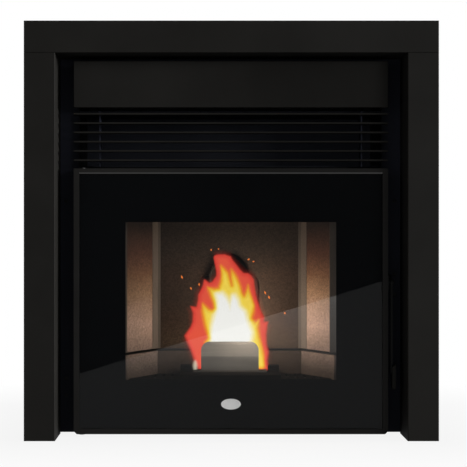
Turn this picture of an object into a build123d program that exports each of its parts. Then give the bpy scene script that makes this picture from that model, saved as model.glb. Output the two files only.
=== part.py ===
from build123d import *
import os
from math import atan2, cos, radians, sin, tan

# Pellet-burning fireplace insert with a three-sided steel surround, in millimetres.
# +Z is up, the front faces -Y and +X is to the viewer's right.
# The origin is the middle of the footprint, on the hearth.

# ---------------------------------------------------------------- driving sizes
overall_depth = 560.0  # surround face to the ends of the rear spigots

surround_width = 908.0
surround_height = 920.0
surround_depth = 120.0
surround_sheet = 2.5
surround_edge = 1.5
leg_width = 68.0
lintel_height = 70.0

wall_plate_sheet = 2.0
wall_plate_inset = 9.0  # back from the surround's outer edges
wall_plate_ground_gap = 3.0
wall_plate_overlap = 35.0  # height of the plate hidden behind the lintel
anchor_inset = 25.0
anchor_radius = 4.5
anchor_bottom = 60.0
anchor_top_inset = 85.0  # below the plate's top edge
plate_screw_radius = 2.6
plate_screw_clearance = 0.2
plate_screw_length = 14.0
plate_screw_shift = 9.0  # screws outside the middle of the plate's visible strip
screw_head_radius = 4.5
screw_head_height = 2.2
screw_head_edge = 1.2
screw_socket_radius = 1.8
screw_socket_depth = 1.4

bracket_leg = 38.0
bracket_sheet = 3.0
bracket_width = 50.0
bracket_inset = 150.0  # leg brackets from the hearth and from the lintel
bracket_spacing = 500.0  # between the two brackets of the lintel

casing_side_gap = 44.0  # casing side to the leg beside it
casing_top_gap = 10.0  # casing top to the lintel
casing_sheet = 2.0
casing_corner = 4.0
casing_front_gap = 102.0  # surround face to the casing's front edge
spigot_reach = 40.0  # rear spigots beyond the back panel
foot_height = 14.0
foot_radius = 20.0
foot_disc = 8.0
foot_edge = 2.0
foot_nut_radius = 9.0
foot_nut_height = 7.0
foot_stud_radius = 5.0
foot_stud_length = 30.0
foot_stud_clearance = 0.2
foot_inset = 50.0
tray_lip = 21.0
front_frame_sheet = 3.0
front_frame_lip = 12.0
seat_gap = 0.3  # clearance of pieces that drop or slide into a seat
duct_gap = 2.0  # front frame's top to the floor of the hot-air duct
duct_setback = 40.0  # duct's rear wall behind the heat exchanger
vent_length = 150.0
vent_width = 7.0
vent_pitch = 16.0
vent_rows = 8
upper_vent_length = 130.0
upper_vent_pitch = 190.0
upper_vent_rows = 5
upper_vent_drop = 90.0  # below the drawer shelf

door_side_lap = 8.0  # door beyond the casing on each side
door_bottom = 7.0
door_setback = 55.0  # surround face to the door's face
door_thickness = 34.0
door_face = 12.0  # visible width of the door frame
door_lip = 3.0  # thickness of the frame in front of the glass
door_wall = 8.0
door_corner = 7.0  # cut-off lower corners
door_edge = 1.2
door_toe = 2.0  # rounding under the bottom rail
door_bevel = 3.4  # bevel along the inner edges of the top and bottom rails
door_bevel_depth = 2.0
glass_thickness = 4.0
glass_gap = 0.5
glass_border = 119.5  # clear window's top to the door's top
window_width = 470.0
window_height = 352.0
window_bottom = 127.5
inner_frame_sheet = 3.0
inner_frame_reveal = 2.0  # inner frame opening beyond the clear window
gasket_radius = 5.0
gasket_corner = 24.0
gasket_offset = 10.0  # gasket line outside the firebox mouth
gasket_channel = 24.0
gasket_seat = 1.0  # channel's bed behind the middle of the gasket
clamp_length = 30.0
clamp_reach = 15.0
clamp_thickness = 6.0
clamp_edge = 2.0
clamp_spacing = 180.0
badge_length = 44.0
badge_width = 24.0
badge_height = 74.0
badge_thickness = 2.6
badge_rim = 2.4
badge_edge = 1.0
badge_recess = 0.7

pivot_inset = 17.0  # door pivot from the frame's left edge
pivot_setback = 21.0  # door pivot behind the door's face
pivot_radius = 4.0
pivot_clearance = 0.05
pivot_relief = 1.0  # round the pin in the door frame
pivot_block = 20.0
pivot_block_height = 22.0
pivot_pin_end = 2.0  # pin short of its block's far end
pivot_plate = 2.0
pivot_plate_gap = 0.5
pivot_plate_width = 15.0
pivot_flange_width = 24.0
pivot_flange_shift = 5.0
pivot_flange_height = 40.0
pivot_flange_sheet = 2.4

latch_height = 345.0
latch_setback = 11.0  # latch pin behind the door's face
latch_pin_radius = 3.0
latch_head_radius = 5.0
latch_head = 2.0
latch_play = 0.4
latch_bar_width = 5.5
latch_bar_depth = 12.0
latch_bar_gap = 6.0  # door edge to the lever
latch_eye_radius = 8.0
latch_plate_depth = 26.0
latch_plate_height = 36.0
latch_plate_sheet = 2.5
latch_plate_shift = 3.0
latch_tongue = 22.0
latch_lap = 2.2  # lever thickness taken away where the grip laps it
latch_nose = 34.0
latch_nose_rise = 6.5
latch_nose_root = 7.0
grip_width = 8.0
grip_depth = 24.0
grip_shift = 3.0  # grip's middle in front of the lever's
grip_bottom = 108.0
grip_height = 56.0
grip_slant = 6.0
grip_round = 3.0
grip_edge = 1.0
keeper_gap = 0.5
keeper_thickness = 10.0
keeper_reach = 11.5  # in front of the casing
keeper_root = 12.0
keeper_nose = 4.5
keeper_plate_depth = 16.0
keeper_plate_below = 18.0
keeper_plate_above = 26.0

slat_pitch = 20.7
slat_thickness = 4.0
slat_depth = 26.0
slat_edge = 0.8
slat_setback = 3.0  # slats behind the door's face
slat_first_gap = 18.5  # door's top to the first slat
slat_last_gap = 14.0  # last slat to the drawer front, at least
comb_inset = 57.0  # from the slats' ends
comb_thickness = 3.0
comb_bite = 9.0
comb_root = 10.0

drawer_space = 110.0  # shelf to the casing's top
drawer_front_gap = 5.0  # shelf to the drawer front's lower edge
drawer_front_height = 103.0
drawer_front_depth = 18.0
drawer_side_room = 40.0  # for the runners
drawer_lift = 8.0  # drawer's floor above the shelf
drawer_height = 84.0
drawer_rear_gap = 5.0  # drawer's rear to the hopper's
drawer_sheet = 1.5
runner_width = 19.0
runner_height = 40.0
runner_end_gap = 6.0
runner_rib = 8.0
runner_rib_thickness = 6.0
runner_rib_lift = 7.0  # above the drawer's floor
runner_rib_lead = 2.0  # rib's front end before the casing's front

firebox_setback = 3.0  # liners behind the front frame
firebox_depth = 118.0
firebox_back_half = 169.0
firebox_front_half = 235.0
firebox_floor = 119.0
shell_sheet = 3.0
shell_bottom = 37.0
shell_headroom = 22.0  # shell's top above the mouth
liner_thickness = 25.0
liner_joint = 4.0
liner_joint_height = 182.5
liner_headroom = 5.0  # liners' top below the mouth's
liner_gap = 0.5
baffle_thickness = 20.0
baffle_setback = 42.0  # gap for the smoke in front of the baffle
baffle_edge = 3.0
smoke_slot_half = 150.0
smoke_slot_gap = 10.0  # behind the heat exchanger's front wall
smoke_slot_depth = 35.0
mouth_half = 258.0
mouth_headroom = 20.5  # mouth's top above the clear window
mouth_corner = 14.0
ledge_width = 16.0
skid_width = 20.0
skid_offset = 160.0
retainer_sheet = 1.5
retainer_width = 23.0  # along the side wall, in the back corner
retainer_back_width = 7.0
front_retainer_width = 26.0
front_retainer_laps = {"left": 1.0, "right": 10.5}  # over the liners' front ends

cover_width = 133.0
cover_top = 355.5
cover_corner = 19.0
cover_sheet = 3.0
cover_foot = 2.0  # above the burn pot's seat
cover_groove = 3.8  # dark joint round the plate
cover_groove_depth = 20.0
chute_height = 348.0
chute_radius = 48.0
chute_wall = 3.0
chute_reach = 12.0  # mouth in front of the back liner
chute_lead = 9.0  # back liner's face to the chute's elbow

seat_width = 230.0
seat_setback = 4.0
seat_height = 15.0
seat_edge = 1.5
seat_lug_inset = 13.0  # lug's middle from the seat's end
seat_lug_width = 26.0
seat_lug_depth = 24.0
seat_lug_height = 13.0
seat_lug_gap = 4.0
pot_bottom = 105.0
pot_top = 168.0
pot_half_width = 52.0
pot_half_depth = 17.0
pot_corner = 6.0
pot_inset = 30.0  # pot's middle in front of the back liner
pot_taper = 4.5
pot_wall = 3.0
pot_clearance = 1.0
pot_flange = 4.0
pot_flange_width = 170.0
pot_flange_fore = 28.0
pot_flange_aft = 24.0
pot_hole_radius = 2.5
pot_hole_pitch = 15.0
pot_hole_rows_pitch = 12.0
shield_width = 133.0
shield_height = 66.0
shield_sheet = 3.0
shield_corner = 20.0
shield_crease = 32.0
shield_lean = 0.14
shield_hook = 16.0
shield_hook_offset = 30.0
shield_hook_reach = 5.0
shield_hook_sheet = 2.5
grate_thickness = 6.0
grate_gap = 0.5
grate_side_gap = 3.0
grate_front_gap = 4.0
grate_slots = 5
grate_slot_pitch = 20.0
grate_slot_width = 8.0
grate_slot_margin = 18.0  # seat's end to the first slot's middle
grate_rim = 5.0
pan_half = 185.0
pan_height = 62.0
pan_setback = 2.0
pan_depth = 120.0
pan_corner = 8.0
pan_sheet = 1.5
pan_grip_length = 90.0
pan_grip_height = 14.0
pan_grip_wall = 4.0
pan_grip_reach = 5.0
igniter_radius = 5.0
igniter_height = 150.0
igniter_tip = 1.5
igniter_tail = 26.0
igniter_nut_radius = 12.0
igniter_nut = 10.0

exchanger_lap = 5.0  # exchanger's side inside the firebox's front corner
exchanger_setback = 24.0
exchanger_depth = 128.0
exchanger_height = 80.0
exchanger_tubes = 5
exchanger_tube_pitch = 72.0
exchanger_tube_shift = -48.0
exchanger_tube_stub = 8.0  # tube ends outside the box
exchanger_tube_radius = 19.0
exchanger_tube_wall = 2.0

auger_setback = 149.0  # auger axis behind the back liner's face
auger_left = -190.0
auger_right = 62.0
auger_tube_radius = 38.0
auger_tube_wall = 3.0
auger_chute_hole = 32.0
auger_flight_radius = 32.0
auger_flight_end = 10.0
auger_flight_root = 1.0  # flight's root sunk in the shaft
auger_shaft_radius = 8.0
auger_shaft_tail = 22.0
auger_pitch = 48.0
auger_flight_thickness = 3.0
auger_gear_side = 74.0
auger_gear_corner = 8.0
auger_gear_length = 50.0
auger_motor_radius = 30.0
auger_motor_length = 46.0
auger_motor_edge = 3.0
auger_bore_depth = 26.0
shaft_clearance = 0.05

hopper_side_room = 75.0
hopper_front_gap = 15.0  # behind the hot-air duct
hopper_rear_gap = 28.0
hopper_flange = 8.0
hopper_sheet = 1.5
hopper_throat_left = -165.0
hopper_throat_right = -95.0
hopper_throat_half = 33.0
hopper_throat_rise = 57.0  # throat's top above the auger
hopper_throat_rim = 4.0

fan_wall = 2.0
room_fan_side_gap = 40.0
room_fan_width = 180.0
room_fan_rear_gap = 118.0
room_fan_height = 130.0
room_fan_volute = 56.0
room_fan_step = 9.0
room_fan_outlet = 100.0
room_fan_foot = 12.0
room_fan_foot_half = 30.0
room_fan_foot_drop = 40.0
room_fan_spokes = 3
room_fan_spoke = 5.0
room_fan_hub = 9.0
room_drum_radius = 49.0
room_drum_clearance = 6.0  # eye's radius inside the drum's
room_drum_blades = 24
room_drum_blade_depth = 9.0
room_drum_end = 8.0
room_drum_ring = 3.0
room_blade_bow = 1.6
room_blade_sheet = 1.0
room_blade_tip = 0.6
room_fan_shaft = 5.0
room_shaft_tail = 24.0
room_motor_flange = 51.0
room_motor_vent = 7.0
room_motor_vent_inset = 9.0
room_motor_radius = 25.0
room_motor_length = 45.0
room_motor_edge = 5.0

smoke_fan_left = 165.0
smoke_fan_width = 50.0
smoke_fan_height = 195.0
smoke_fan_volute = 60.0
smoke_fan_step = 9.0
smoke_fan_outlet = 66.0
smoke_fan_transition = 30.0
smoke_rotor_radius = 52.0
smoke_rotor_blades = 10
smoke_rotor_hub = 10.0
smoke_rotor_gap = 10.0
smoke_rotor_plate = 2.0
smoke_rotor_end = 8.0
smoke_fan_shaft = 4.0
smoke_shaft_tail = 25.0
smoke_shaft_relief = 2.0
smoke_eye_radius = 32.0
smoke_motor_side = 78.0
smoke_motor_corner = 10.0
smoke_motor_radius = 34.0
smoke_motor_length = 50.0
smoke_motor_edge = 6.0
motor_flange = 3.0
motor_bore_depth = 30.0
flue_radius = 40.0
flue_wall = 2.0
collar_width = 4.0  # collars that fill the back panel's holes round the spigots
collar_length = 6.0
smoke_duct_width = 48.0
smoke_duct_foot = 42.0
smoke_duct_headroom = 4.0
smoke_port_rim = 8.0
smoke_port_margin = 10.0

inlet_radius = 25.0
inlet_wall = 1.5
inlet_offset = 30.0
inlet_height = 80.0
inlet_flange = 10.0
inlet_flange_sheet = 2.0

control_rear_gap = 98.0
control_height = 480.0
control_length = 150.0
control_rise = 160.0
control_width = 60.0
control_corner = 4.0
control_slots = 6
control_slot_length = 90.0
control_slot_width = 5.0
control_slot_pitch = 14.0
control_slot_depth = 2.0
socket_inset = 62.0  # socket's middle from the casing's side
socket_height = 330.0
socket_length = 27.0
socket_width = 20.0
socket_flange = 3.5
socket_flange_sheet = 2.5
socket_depth = 22.0
socket_wall = 2.5
socket_recess = 16.0
socket_pin_width = 2.0
socket_pin_height = 5.0
socket_pin_length = 12.0
socket_pin_pitch = 7.0
socket_pin_shift = 1.5
switch_height = 302.0
switch_length = 22.0
switch_width = 16.0
switch_wall = 1.0
switch_flange = 3.0
rocker_length = 17.0
rocker_play = 0.4
rocker_pin_radius = 1.2
rocker_pin_reach = 1.2
rocker_tilt = 8.0
rocker_half = 5.8
rocker_front = 2.2
rocker_dip = 0.8
rocker_back = 3.0
thermostat_radius = 13.0
thermostat_depth = 26.0
thermostat_nose = 5.0
thermostat_wall = 1.8
reset_height = 262.0
reset_radius = 6.0
reset_length = 18.0
reset_reach = 9.0
reset_edge = 1.5

# ---------------------------------------------------------------- places worked out from them
y_front = -overall_depth / 2
y_rear = overall_depth / 2
opening_half = surround_width / 2 - leg_width
opening_top = surround_height - lintel_height
wall_plate_y = y_front + surround_depth
casing_half = opening_half - casing_side_gap
casing_width = 2 * casing_half
casing_top = opening_top - casing_top_gap
casing_inner = casing_half - casing_sheet
casing_front = y_front + casing_front_gap
casing_rear = y_rear - spigot_reach
panel_inner = casing_rear - casing_sheet
tray_top = foot_height + casing_sheet
frame_back = casing_front + front_frame_sheet
shelf_height = casing_top - drawer_space

window_top = window_bottom + window_height
window_centre = window_bottom + window_height / 2
door_half = casing_half + door_side_lap
door_width = 2 * door_half
door_top = window_top + glass_border
door_height = door_top - door_bottom
door_y = y_front + door_setback
door_back = door_y + door_thickness
door_centre = door_bottom + door_height / 2
glass_y = door_y + door_lip
inner_frame_y = glass_y + glass_thickness + seat_gap
inner_frame_back = inner_frame_y + inner_frame_sheet
mouth_bottom = shell_bottom + shell_sheet
mouth_top = window_top + mouth_headroom
gasket_y = casing_front - seat_gap - gasket_radius
gasket_half = mouth_half + gasket_offset
gasket_bottom = mouth_bottom - gasket_offset
gasket_top = mouth_top + gasket_offset
pivot_x = -door_half + pivot_inset
pivot_y = door_y + pivot_setback

latch_x = door_half + latch_bar_gap
latch_y = door_y + latch_setback
grip_top = grip_bottom + grip_height
nose_top = latch_height + latch_nose_rise
keeper_low = nose_top + keeper_gap
keeper_x = latch_x + latch_bar_width
slat_y = door_y + slat_setback
drawer_front_bottom = shelf_height + drawer_front_gap

firebox_front = frame_back + firebox_setback
firebox_back = firebox_front + firebox_depth
splay = atan2(firebox_front_half - firebox_back_half, firebox_depth)
shell_out = liner_thickness + liner_gap + shell_sheet
shell_front = frame_back
shell_rear = firebox_back + shell_out
shell_top = mouth_top + shell_headroom
liner_top = mouth_top - liner_headroom
seat_top = firebox_floor + seat_height
pot_centre = firebox_back - pot_inset
pot_flange_front = pot_centre - pot_flange_fore
pot_flange_rear = pot_centre + pot_flange_aft
pot_widening = (seat_top - pot_bottom) * tan(radians(pot_taper))

exchanger_half = firebox_front_half - exchanger_lap
exchanger_front = firebox_front + exchanger_setback
exchanger_rear = exchanger_front + exchanger_depth
exchanger_top = shell_top + exchanger_height
front_frame_top = exchanger_top + duct_gap
duct_rear = exchanger_rear + duct_setback
chute_mouth = firebox_back - chute_reach
chute_elbow = firebox_back + chute_lead
auger_y = firebox_back + auger_setback
auger_height = chute_height + auger_y - chute_elbow
hopper_half = casing_inner - hopper_side_room
hopper_front = duct_rear + hopper_front_gap
hopper_rear = panel_inner - hopper_rear_gap
hopper_throat_top = auger_height + hopper_throat_rise

room_fan_left = room_fan_side_gap - casing_inner
room_fan_right = room_fan_left + room_fan_width
room_fan_y = panel_inner - room_fan_rear_gap
smoke_fan_right = smoke_fan_left + smoke_fan_width
smoke_outlet_y = casing_rear - collar_length - smoke_fan_transition
smoke_fan_y = smoke_outlet_y - smoke_fan_outlet
flue_height = smoke_fan_height - smoke_fan_volute - 2 * smoke_fan_step
flue_offset = (smoke_fan_left + smoke_fan_right) / 2
socket_offset = casing_half - socket_inset
control_y = panel_inner - control_rear_gap

sides = {"left": -1, "right": 1}
pieces = {}


# ---------------------------------------------------------------- helpers
def facing(y):
    """Upright plane at depth y that faces the viewer; a negative extrusion goes backwards."""
    return Plane.XZ.offset(-y)


def lying(z):
    """Level plane at height z."""
    return Plane.XY.offset(z)


def across(x):
    """Upright plane at x that faces +X, with local x along +Y and local y along +Z."""
    return Plane.YZ.offset(x)


def block(x_span, y_span, z_span, mode=Mode.ADD):
    """Rectangular block between two depths, widths and heights, for small lugs and cuts."""
    middle = tuple((low + high) / 2 for low, high in (x_span, y_span, z_span))
    with Locations(middle):
        Box(x_span[1] - x_span[0], y_span[1] - y_span[0], z_span[1] - z_span[0], mode=mode)


def wall_x(y, out=0.0):
    """Half width of the splayed firebox at depth y, moved outwards through the wall by out."""
    return firebox_back_half + (firebox_back - y) * tan(splay) + out / cos(splay)


def firebox_plan(front, back, out, mode=Mode.ADD):
    """Firebox-shaped trapezoid in plan, inside a sketch."""
    with BuildLine() as outline:
        Polyline(
            (-wall_x(front, out), front),
            (wall_x(front, out), front),
            (wall_x(back, out), back),
            (-wall_x(back, out), back),
            close=True,
        )
    make_face(outline.edges(), mode=mode)


def volute(start_radius, step, outlet):
    """Fan scroll of four growing quarter arcs, with its outlet towards local +y, inside a sketch."""
    radii = [start_radius + turn * step for turn in range(4)]
    centres = [(0, 0), (0, -step), (step, -step), (step, 0)]
    with BuildLine() as outline:
        for turn, (radius, centre) in enumerate(zip(radii, centres)):
            CenterArc(centre, radius, 90 * turn, 90)
        outer = step + radii[3]
        Polyline((outer, 0), (outer, outlet), (start_radius, outlet), (start_radius, 0))
    make_face(outline.edges())


# ---------------------------------------------------------------- surround and wall plate
with BuildPart() as surround_lintel:
    with BuildSketch(facing(y_front)):
        with Locations((0, surround_height - lintel_height / 2)):
            Rectangle(surround_width, lintel_height)
    extrude(amount=-surround_depth)
    offset(amount=-surround_sheet, openings=surround_lintel.faces().sort_by(Axis.Y)[-1])
    fillet(surround_lintel.faces().sort_by(Axis.Y)[0].edges(), surround_edge)
pieces["surround_lintel"] = surround_lintel

for side, sign in sides.items():
    with BuildPart() as leg:
        with BuildSketch(facing(y_front)):
            with Locations((sign * (surround_width - leg_width) / 2, opening_top / 2)):
                Rectangle(leg_width, opening_top)
        extrude(amount=-surround_depth)
        offset(amount=-surround_sheet, openings=leg.faces().sort_by(Axis.Y)[-1])
        fillet(leg.faces().sort_by(Axis.Y)[0].edges(), surround_edge)
    pieces[f"surround_{side}_leg"] = leg

# upside-down U that closes the gap between the casing and the masonry
plate_half = surround_width / 2 - wall_plate_inset
plate_top = opening_top + wall_plate_overlap
plate_slot_half = casing_half + seat_gap
screw_line = (opening_half + casing_half) / 2 + plate_screw_shift
screw_heights = {"left": (86.0, 126.0, 528.0), "right": (315.0, 362.0, 528.0)}
screw_places = [(sides[side] * screw_line, z) for side in sides for z in screw_heights[side]]
anchor_x = plate_half - anchor_inset
anchor_heights = (anchor_bottom, plate_top - anchor_top_inset)
anchor_places = [(sign * anchor_x, z) for sign in sides.values() for z in anchor_heights]

with BuildPart() as wall_plate:
    with BuildSketch(facing(wall_plate_y)):
        with Locations((0, (plate_top + wall_plate_ground_gap) / 2)):
            Rectangle(2 * plate_half, plate_top - wall_plate_ground_gap)
        with Locations((0, (casing_top + seat_gap) / 2)):
            Rectangle(2 * plate_slot_half, casing_top + seat_gap, mode=Mode.SUBTRACT)
        with Locations(*screw_places):
            Circle(plate_screw_radius + plate_screw_clearance, mode=Mode.SUBTRACT)
        with Locations(*anchor_places):
            Circle(anchor_radius, mode=Mode.SUBTRACT)
    extrude(amount=-wall_plate_sheet)
pieces["wall_plate"] = wall_plate

with BuildPart() as wall_plate_screws:
    with BuildSketch(facing(wall_plate_y)):
        with Locations(*screw_places):
            Circle(screw_head_radius)
    extrude(amount=screw_head_height)
    fillet(wall_plate_screws.faces().group_by(Axis.Y)[0].edges(), screw_head_edge)
    with BuildSketch(facing(wall_plate_y)):
        with Locations(*screw_places):
            Circle(plate_screw_radius)
    extrude(amount=-plate_screw_length)
    with BuildSketch(facing(wall_plate_y - screw_head_height)):
        with Locations(*screw_places):
            RegularPolygon(screw_socket_radius, 6)
    extrude(amount=-screw_socket_depth, mode=Mode.SUBTRACT)
pieces["wall_plate_screws"] = wall_plate_screws

# folded angles: one flange on the wall plate, the other inside a leg or under the lintel's top
with BuildPart() as surround_brackets:
    leg_wall = surround_width / 2 - surround_sheet
    for sign in sides.values():
        for height in (bracket_inset, opening_top - bracket_inset):
            with BuildSketch(lying(height)):
                with BuildLine():
                    Polyline(
                        (sign * leg_wall, wall_plate_y),
                        (sign * leg_wall, wall_plate_y - bracket_leg),
                        (sign * (leg_wall - bracket_sheet), wall_plate_y - bracket_leg),
                        (sign * (leg_wall - bracket_sheet), wall_plate_y - bracket_sheet),
                        (sign * (leg_wall - bracket_leg), wall_plate_y - bracket_sheet),
                        (sign * (leg_wall - bracket_leg), wall_plate_y),
                        close=True,
                    )
                make_face()
            extrude(amount=bracket_width)
    lintel_floor = opening_top + surround_sheet
    bracket_top = plate_top - surround_sheet
    for sign in sides.values():
        with BuildSketch(across(sign * bracket_spacing / 2)):
            with BuildLine():
                Polyline(
                    (wall_plate_y, lintel_floor),
                    (wall_plate_y - bracket_leg, lintel_floor),
                    (wall_plate_y - bracket_leg, lintel_floor + bracket_sheet),
                    (wall_plate_y - bracket_sheet, lintel_floor + bracket_sheet),
                    (wall_plate_y - bracket_sheet, bracket_top),
                    (wall_plate_y, bracket_top),
                    close=True,
                )
            make_face()
        extrude(amount=bracket_width / 2, both=True)
pieces["surround_brackets"] = surround_brackets

# ---------------------------------------------------------------- casing
with BuildPart() as casing_cover:
    with BuildSketch(facing(casing_front)) as cover_front:
        with Locations((0, (casing_top + foot_height) / 2)):
            Rectangle(casing_width, casing_top - foot_height)
        fillet(cover_front.vertices().group_by(Axis.Y)[-1], casing_corner)
        with Locations((0, (casing_top - casing_sheet) / 2)):
            Rectangle(2 * casing_inner, casing_top - casing_sheet, mode=Mode.SUBTRACT)
    extrude(amount=-(panel_inner - casing_front))
    # the door latch's keeper, welded to the right side
    block(
        (casing_half, casing_half + casing_sheet),
        (casing_front, casing_front + keeper_plate_depth),
        (keeper_low - keeper_plate_below, keeper_low + keeper_plate_above),
    )
    with BuildSketch(across(casing_half)):
        with BuildLine():
            Polyline(
                (casing_front - keeper_reach, keeper_low),
                (casing_front + keeper_root, keeper_low),
                (casing_front + keeper_root, keeper_low + keeper_thickness),
                (casing_front - keeper_reach + keeper_nose, keeper_low + keeper_thickness),
                (casing_front - keeper_reach, keeper_low + keeper_thickness / 2),
                close=True,
            )
        make_face()
    extrude(amount=keeper_x - casing_half)
pieces["casing_cover"] = casing_cover

with BuildPart() as base_tray:
    with BuildSketch(lying(foot_height)):
        with Locations((0, (frame_back + panel_inner) / 2)):
            Rectangle(2 * casing_inner, panel_inner - frame_back)
    extrude(amount=tray_lip)
    offset(amount=-casing_sheet, openings=base_tray.faces().sort_by(Axis.Z)[-1])
    foot_x = casing_inner - foot_inset
    foot_depths = (frame_back + foot_inset, panel_inner - foot_inset)
    foot_points = [(sign * foot_x, y) for sign in sides.values() for y in foot_depths]
    with BuildSketch(lying(foot_height)):
        with Locations(*foot_points):
            Circle(foot_stud_radius + foot_stud_clearance)
    extrude(amount=casing_sheet, mode=Mode.SUBTRACT)
pieces["base_tray"] = base_tray

with BuildPart() as levelling_feet:
    with BuildSketch(lying(0)):
        with Locations(*foot_points):
            Circle(foot_radius)
    extrude(amount=foot_disc)
    chamfer(levelling_feet.faces().group_by(Axis.Z)[-1].edges(), foot_edge)
    with BuildSketch(lying(foot_disc)):
        with Locations(*foot_points):
            Circle(foot_stud_radius)
    extrude(amount=foot_stud_length)
    with BuildSketch(lying(foot_disc)):
        with Locations(*foot_points):
            RegularPolygon(foot_nut_radius, 6)
    extrude(amount=foot_height - foot_disc)
    with BuildSketch(lying(tray_top)):
        with Locations(*foot_points):
            RegularPolygon(foot_nut_radius, 6)
    extrude(amount=foot_nut_height)
pieces["levelling_feet"] = levelling_feet

with BuildPart() as back_panel:
    with BuildSketch(facing(panel_inner)):
        with Locations((0, (casing_top + foot_height) / 2)):
            Rectangle(casing_width, casing_top - foot_height)
        with Locations((flue_offset, flue_height)):
            Circle(flue_radius + collar_width + seat_gap, mode=Mode.SUBTRACT)
        with Locations((inlet_offset, inlet_height)):
            Circle(inlet_radius + collar_width + seat_gap, mode=Mode.SUBTRACT)
        for size, height in (
            ((socket_length, socket_width), socket_height),
            ((switch_length, switch_width), switch_height),
        ):
            with Locations((socket_offset, height)):
                Rectangle(size[0] + 2 * seat_gap, size[1] + 2 * seat_gap, mode=Mode.SUBTRACT)
        with Locations((socket_offset, reset_height)):
            Circle(reset_radius + thermostat_wall + seat_gap, mode=Mode.SUBTRACT)
        vent_x = (room_fan_left + room_fan_right) / 2
        with Locations((vent_x, room_fan_height)):
            with GridLocations(0, vent_pitch, 1, vent_rows):
                SlotOverall(vent_length, vent_width, mode=Mode.SUBTRACT)
        with Locations((0, shelf_height - upper_vent_drop)):
            with GridLocations(upper_vent_pitch, vent_pitch, 2, upper_vent_rows):
                SlotOverall(upper_vent_length, vent_width, mode=Mode.SUBTRACT)
    extrude(amount=-casing_sheet)
pieces["back_panel"] = back_panel

with BuildPart() as front_frame:
    with BuildSketch(facing(casing_front)):
        with Locations((0, (front_frame_top + tray_top) / 2)):
            Rectangle(2 * casing_inner, front_frame_top - tray_top)
        with Locations((0, (mouth_top + mouth_bottom) / 2)):
            RectangleRounded(2 * mouth_half, mouth_top - mouth_bottom, mouth_corner, mode=Mode.SUBTRACT)
    extrude(amount=-front_frame_sheet)
    block(
        (-casing_inner, casing_inner),
        (frame_back, frame_back + front_frame_lip),
        (front_frame_top - front_frame_sheet, front_frame_top),
    )
pieces["front_frame"] = front_frame

# folded duct behind the grille; its top carries on to the rear as the drawer shelf
duct_floor = front_frame_top + duct_gap
with BuildPart() as hot_air_box:
    with BuildSketch(across(-casing_inner)):
        with BuildLine():
            Polyline(
                (casing_front, shelf_height),
                (panel_inner, shelf_height),
                (panel_inner, shelf_height - casing_sheet),
                (duct_rear, shelf_height - casing_sheet),
                (duct_rear, duct_floor),
                (exchanger_front, duct_floor),
                (exchanger_front, duct_floor + casing_sheet),
                (duct_rear - casing_sheet, duct_floor + casing_sheet),
                (duct_rear - casing_sheet, shelf_height - casing_sheet),
                (casing_front, shelf_height - casing_sheet),
                close=True,
            )
        make_face()
    extrude(amount=2 * casing_inner)
    with BuildSketch(lying(shelf_height)):
        with Locations((0, (hopper_front + hopper_rear) / 2)):
            Rectangle(
                2 * (hopper_half - hopper_sheet),
                hopper_rear - hopper_front - 2 * hopper_sheet,
            )
    extrude(amount=-casing_sheet, mode=Mode.SUBTRACT)
pieces["hot_air_box"] = hot_air_box

# ---------------------------------------------------------------- firebox
def chute_run(radius, short=0.0, mode=Mode.ADD):
    """Chute-shaped bar: level through the back wall, mitred, then up at 45 degrees to the auger."""
    with BuildLine() as path:
        Polyline(
            (0, chute_mouth, chute_height),
            (0, chute_elbow, chute_height),
            (0, auger_y - short, auger_height - short),
        )
    with BuildSketch(facing(chute_mouth)) as profile:
        with Locations((0, chute_height)):
            Circle(radius)
    sweep(profile.sketch, path=path.wires()[0], transition=Transition.RIGHT, mode=mode)


with BuildPart() as chute_clearance:
    chute_run(chute_radius + seat_gap)

with BuildPart() as auger_clearance:
    with BuildSketch(across(auger_left)):
        with Locations((auger_y, auger_height)):
            Circle(auger_tube_radius + seat_gap)
    extrude(amount=auger_right - auger_left)

with BuildPart() as pellet_chute:
    chute_run(chute_radius)
    chute_run(chute_radius - chute_wall, chute_wall, Mode.SUBTRACT)
    add(auger_clearance.part, mode=Mode.SUBTRACT)
pieces["pellet_chute"] = pellet_chute

with BuildPart() as firebox_shell:
    with BuildSketch(lying(shell_bottom)):
        firebox_plan(shell_front, shell_rear, shell_out)
    extrude(amount=shell_top - shell_bottom)
    offset(amount=-shell_sheet, openings=firebox_shell.faces().sort_by(Axis.Y)[0])
    with BuildSketch(lying(firebox_floor - shell_sheet)):
        firebox_plan(firebox_front, shell_rear - shell_sheet / 2, shell_out - shell_sheet / 2)
        ledge_rear = firebox_back - ledge_width / 2
        firebox_plan(firebox_front + ledge_width, ledge_rear, -ledge_width, Mode.SUBTRACT)
    extrude(amount=shell_sheet)
    smoke_slot_front = exchanger_front + smoke_slot_gap
    block(
        (-smoke_slot_half, smoke_slot_half),
        (smoke_slot_front, smoke_slot_front + smoke_slot_depth),
        (shell_top - shell_sheet, shell_top),
        Mode.SUBTRACT,
    )
    with BuildSketch(facing(shell_rear)):
        with Locations((inlet_offset, inlet_height)):
            Circle(inlet_radius - inlet_wall)
        with Locations((0, igniter_height)):
            Circle(igniter_radius + seat_gap)
    extrude(amount=shell_sheet, mode=Mode.SUBTRACT)
    add(chute_clearance.part, mode=Mode.SUBTRACT)
    for sign in sides.values():
        block(
            (sign * skid_offset - skid_width / 2, sign * skid_offset + skid_width / 2),
            (firebox_front, shell_rear),
            (tray_top, shell_bottom),
        )
pieces["firebox_shell"] = firebox_shell

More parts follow.
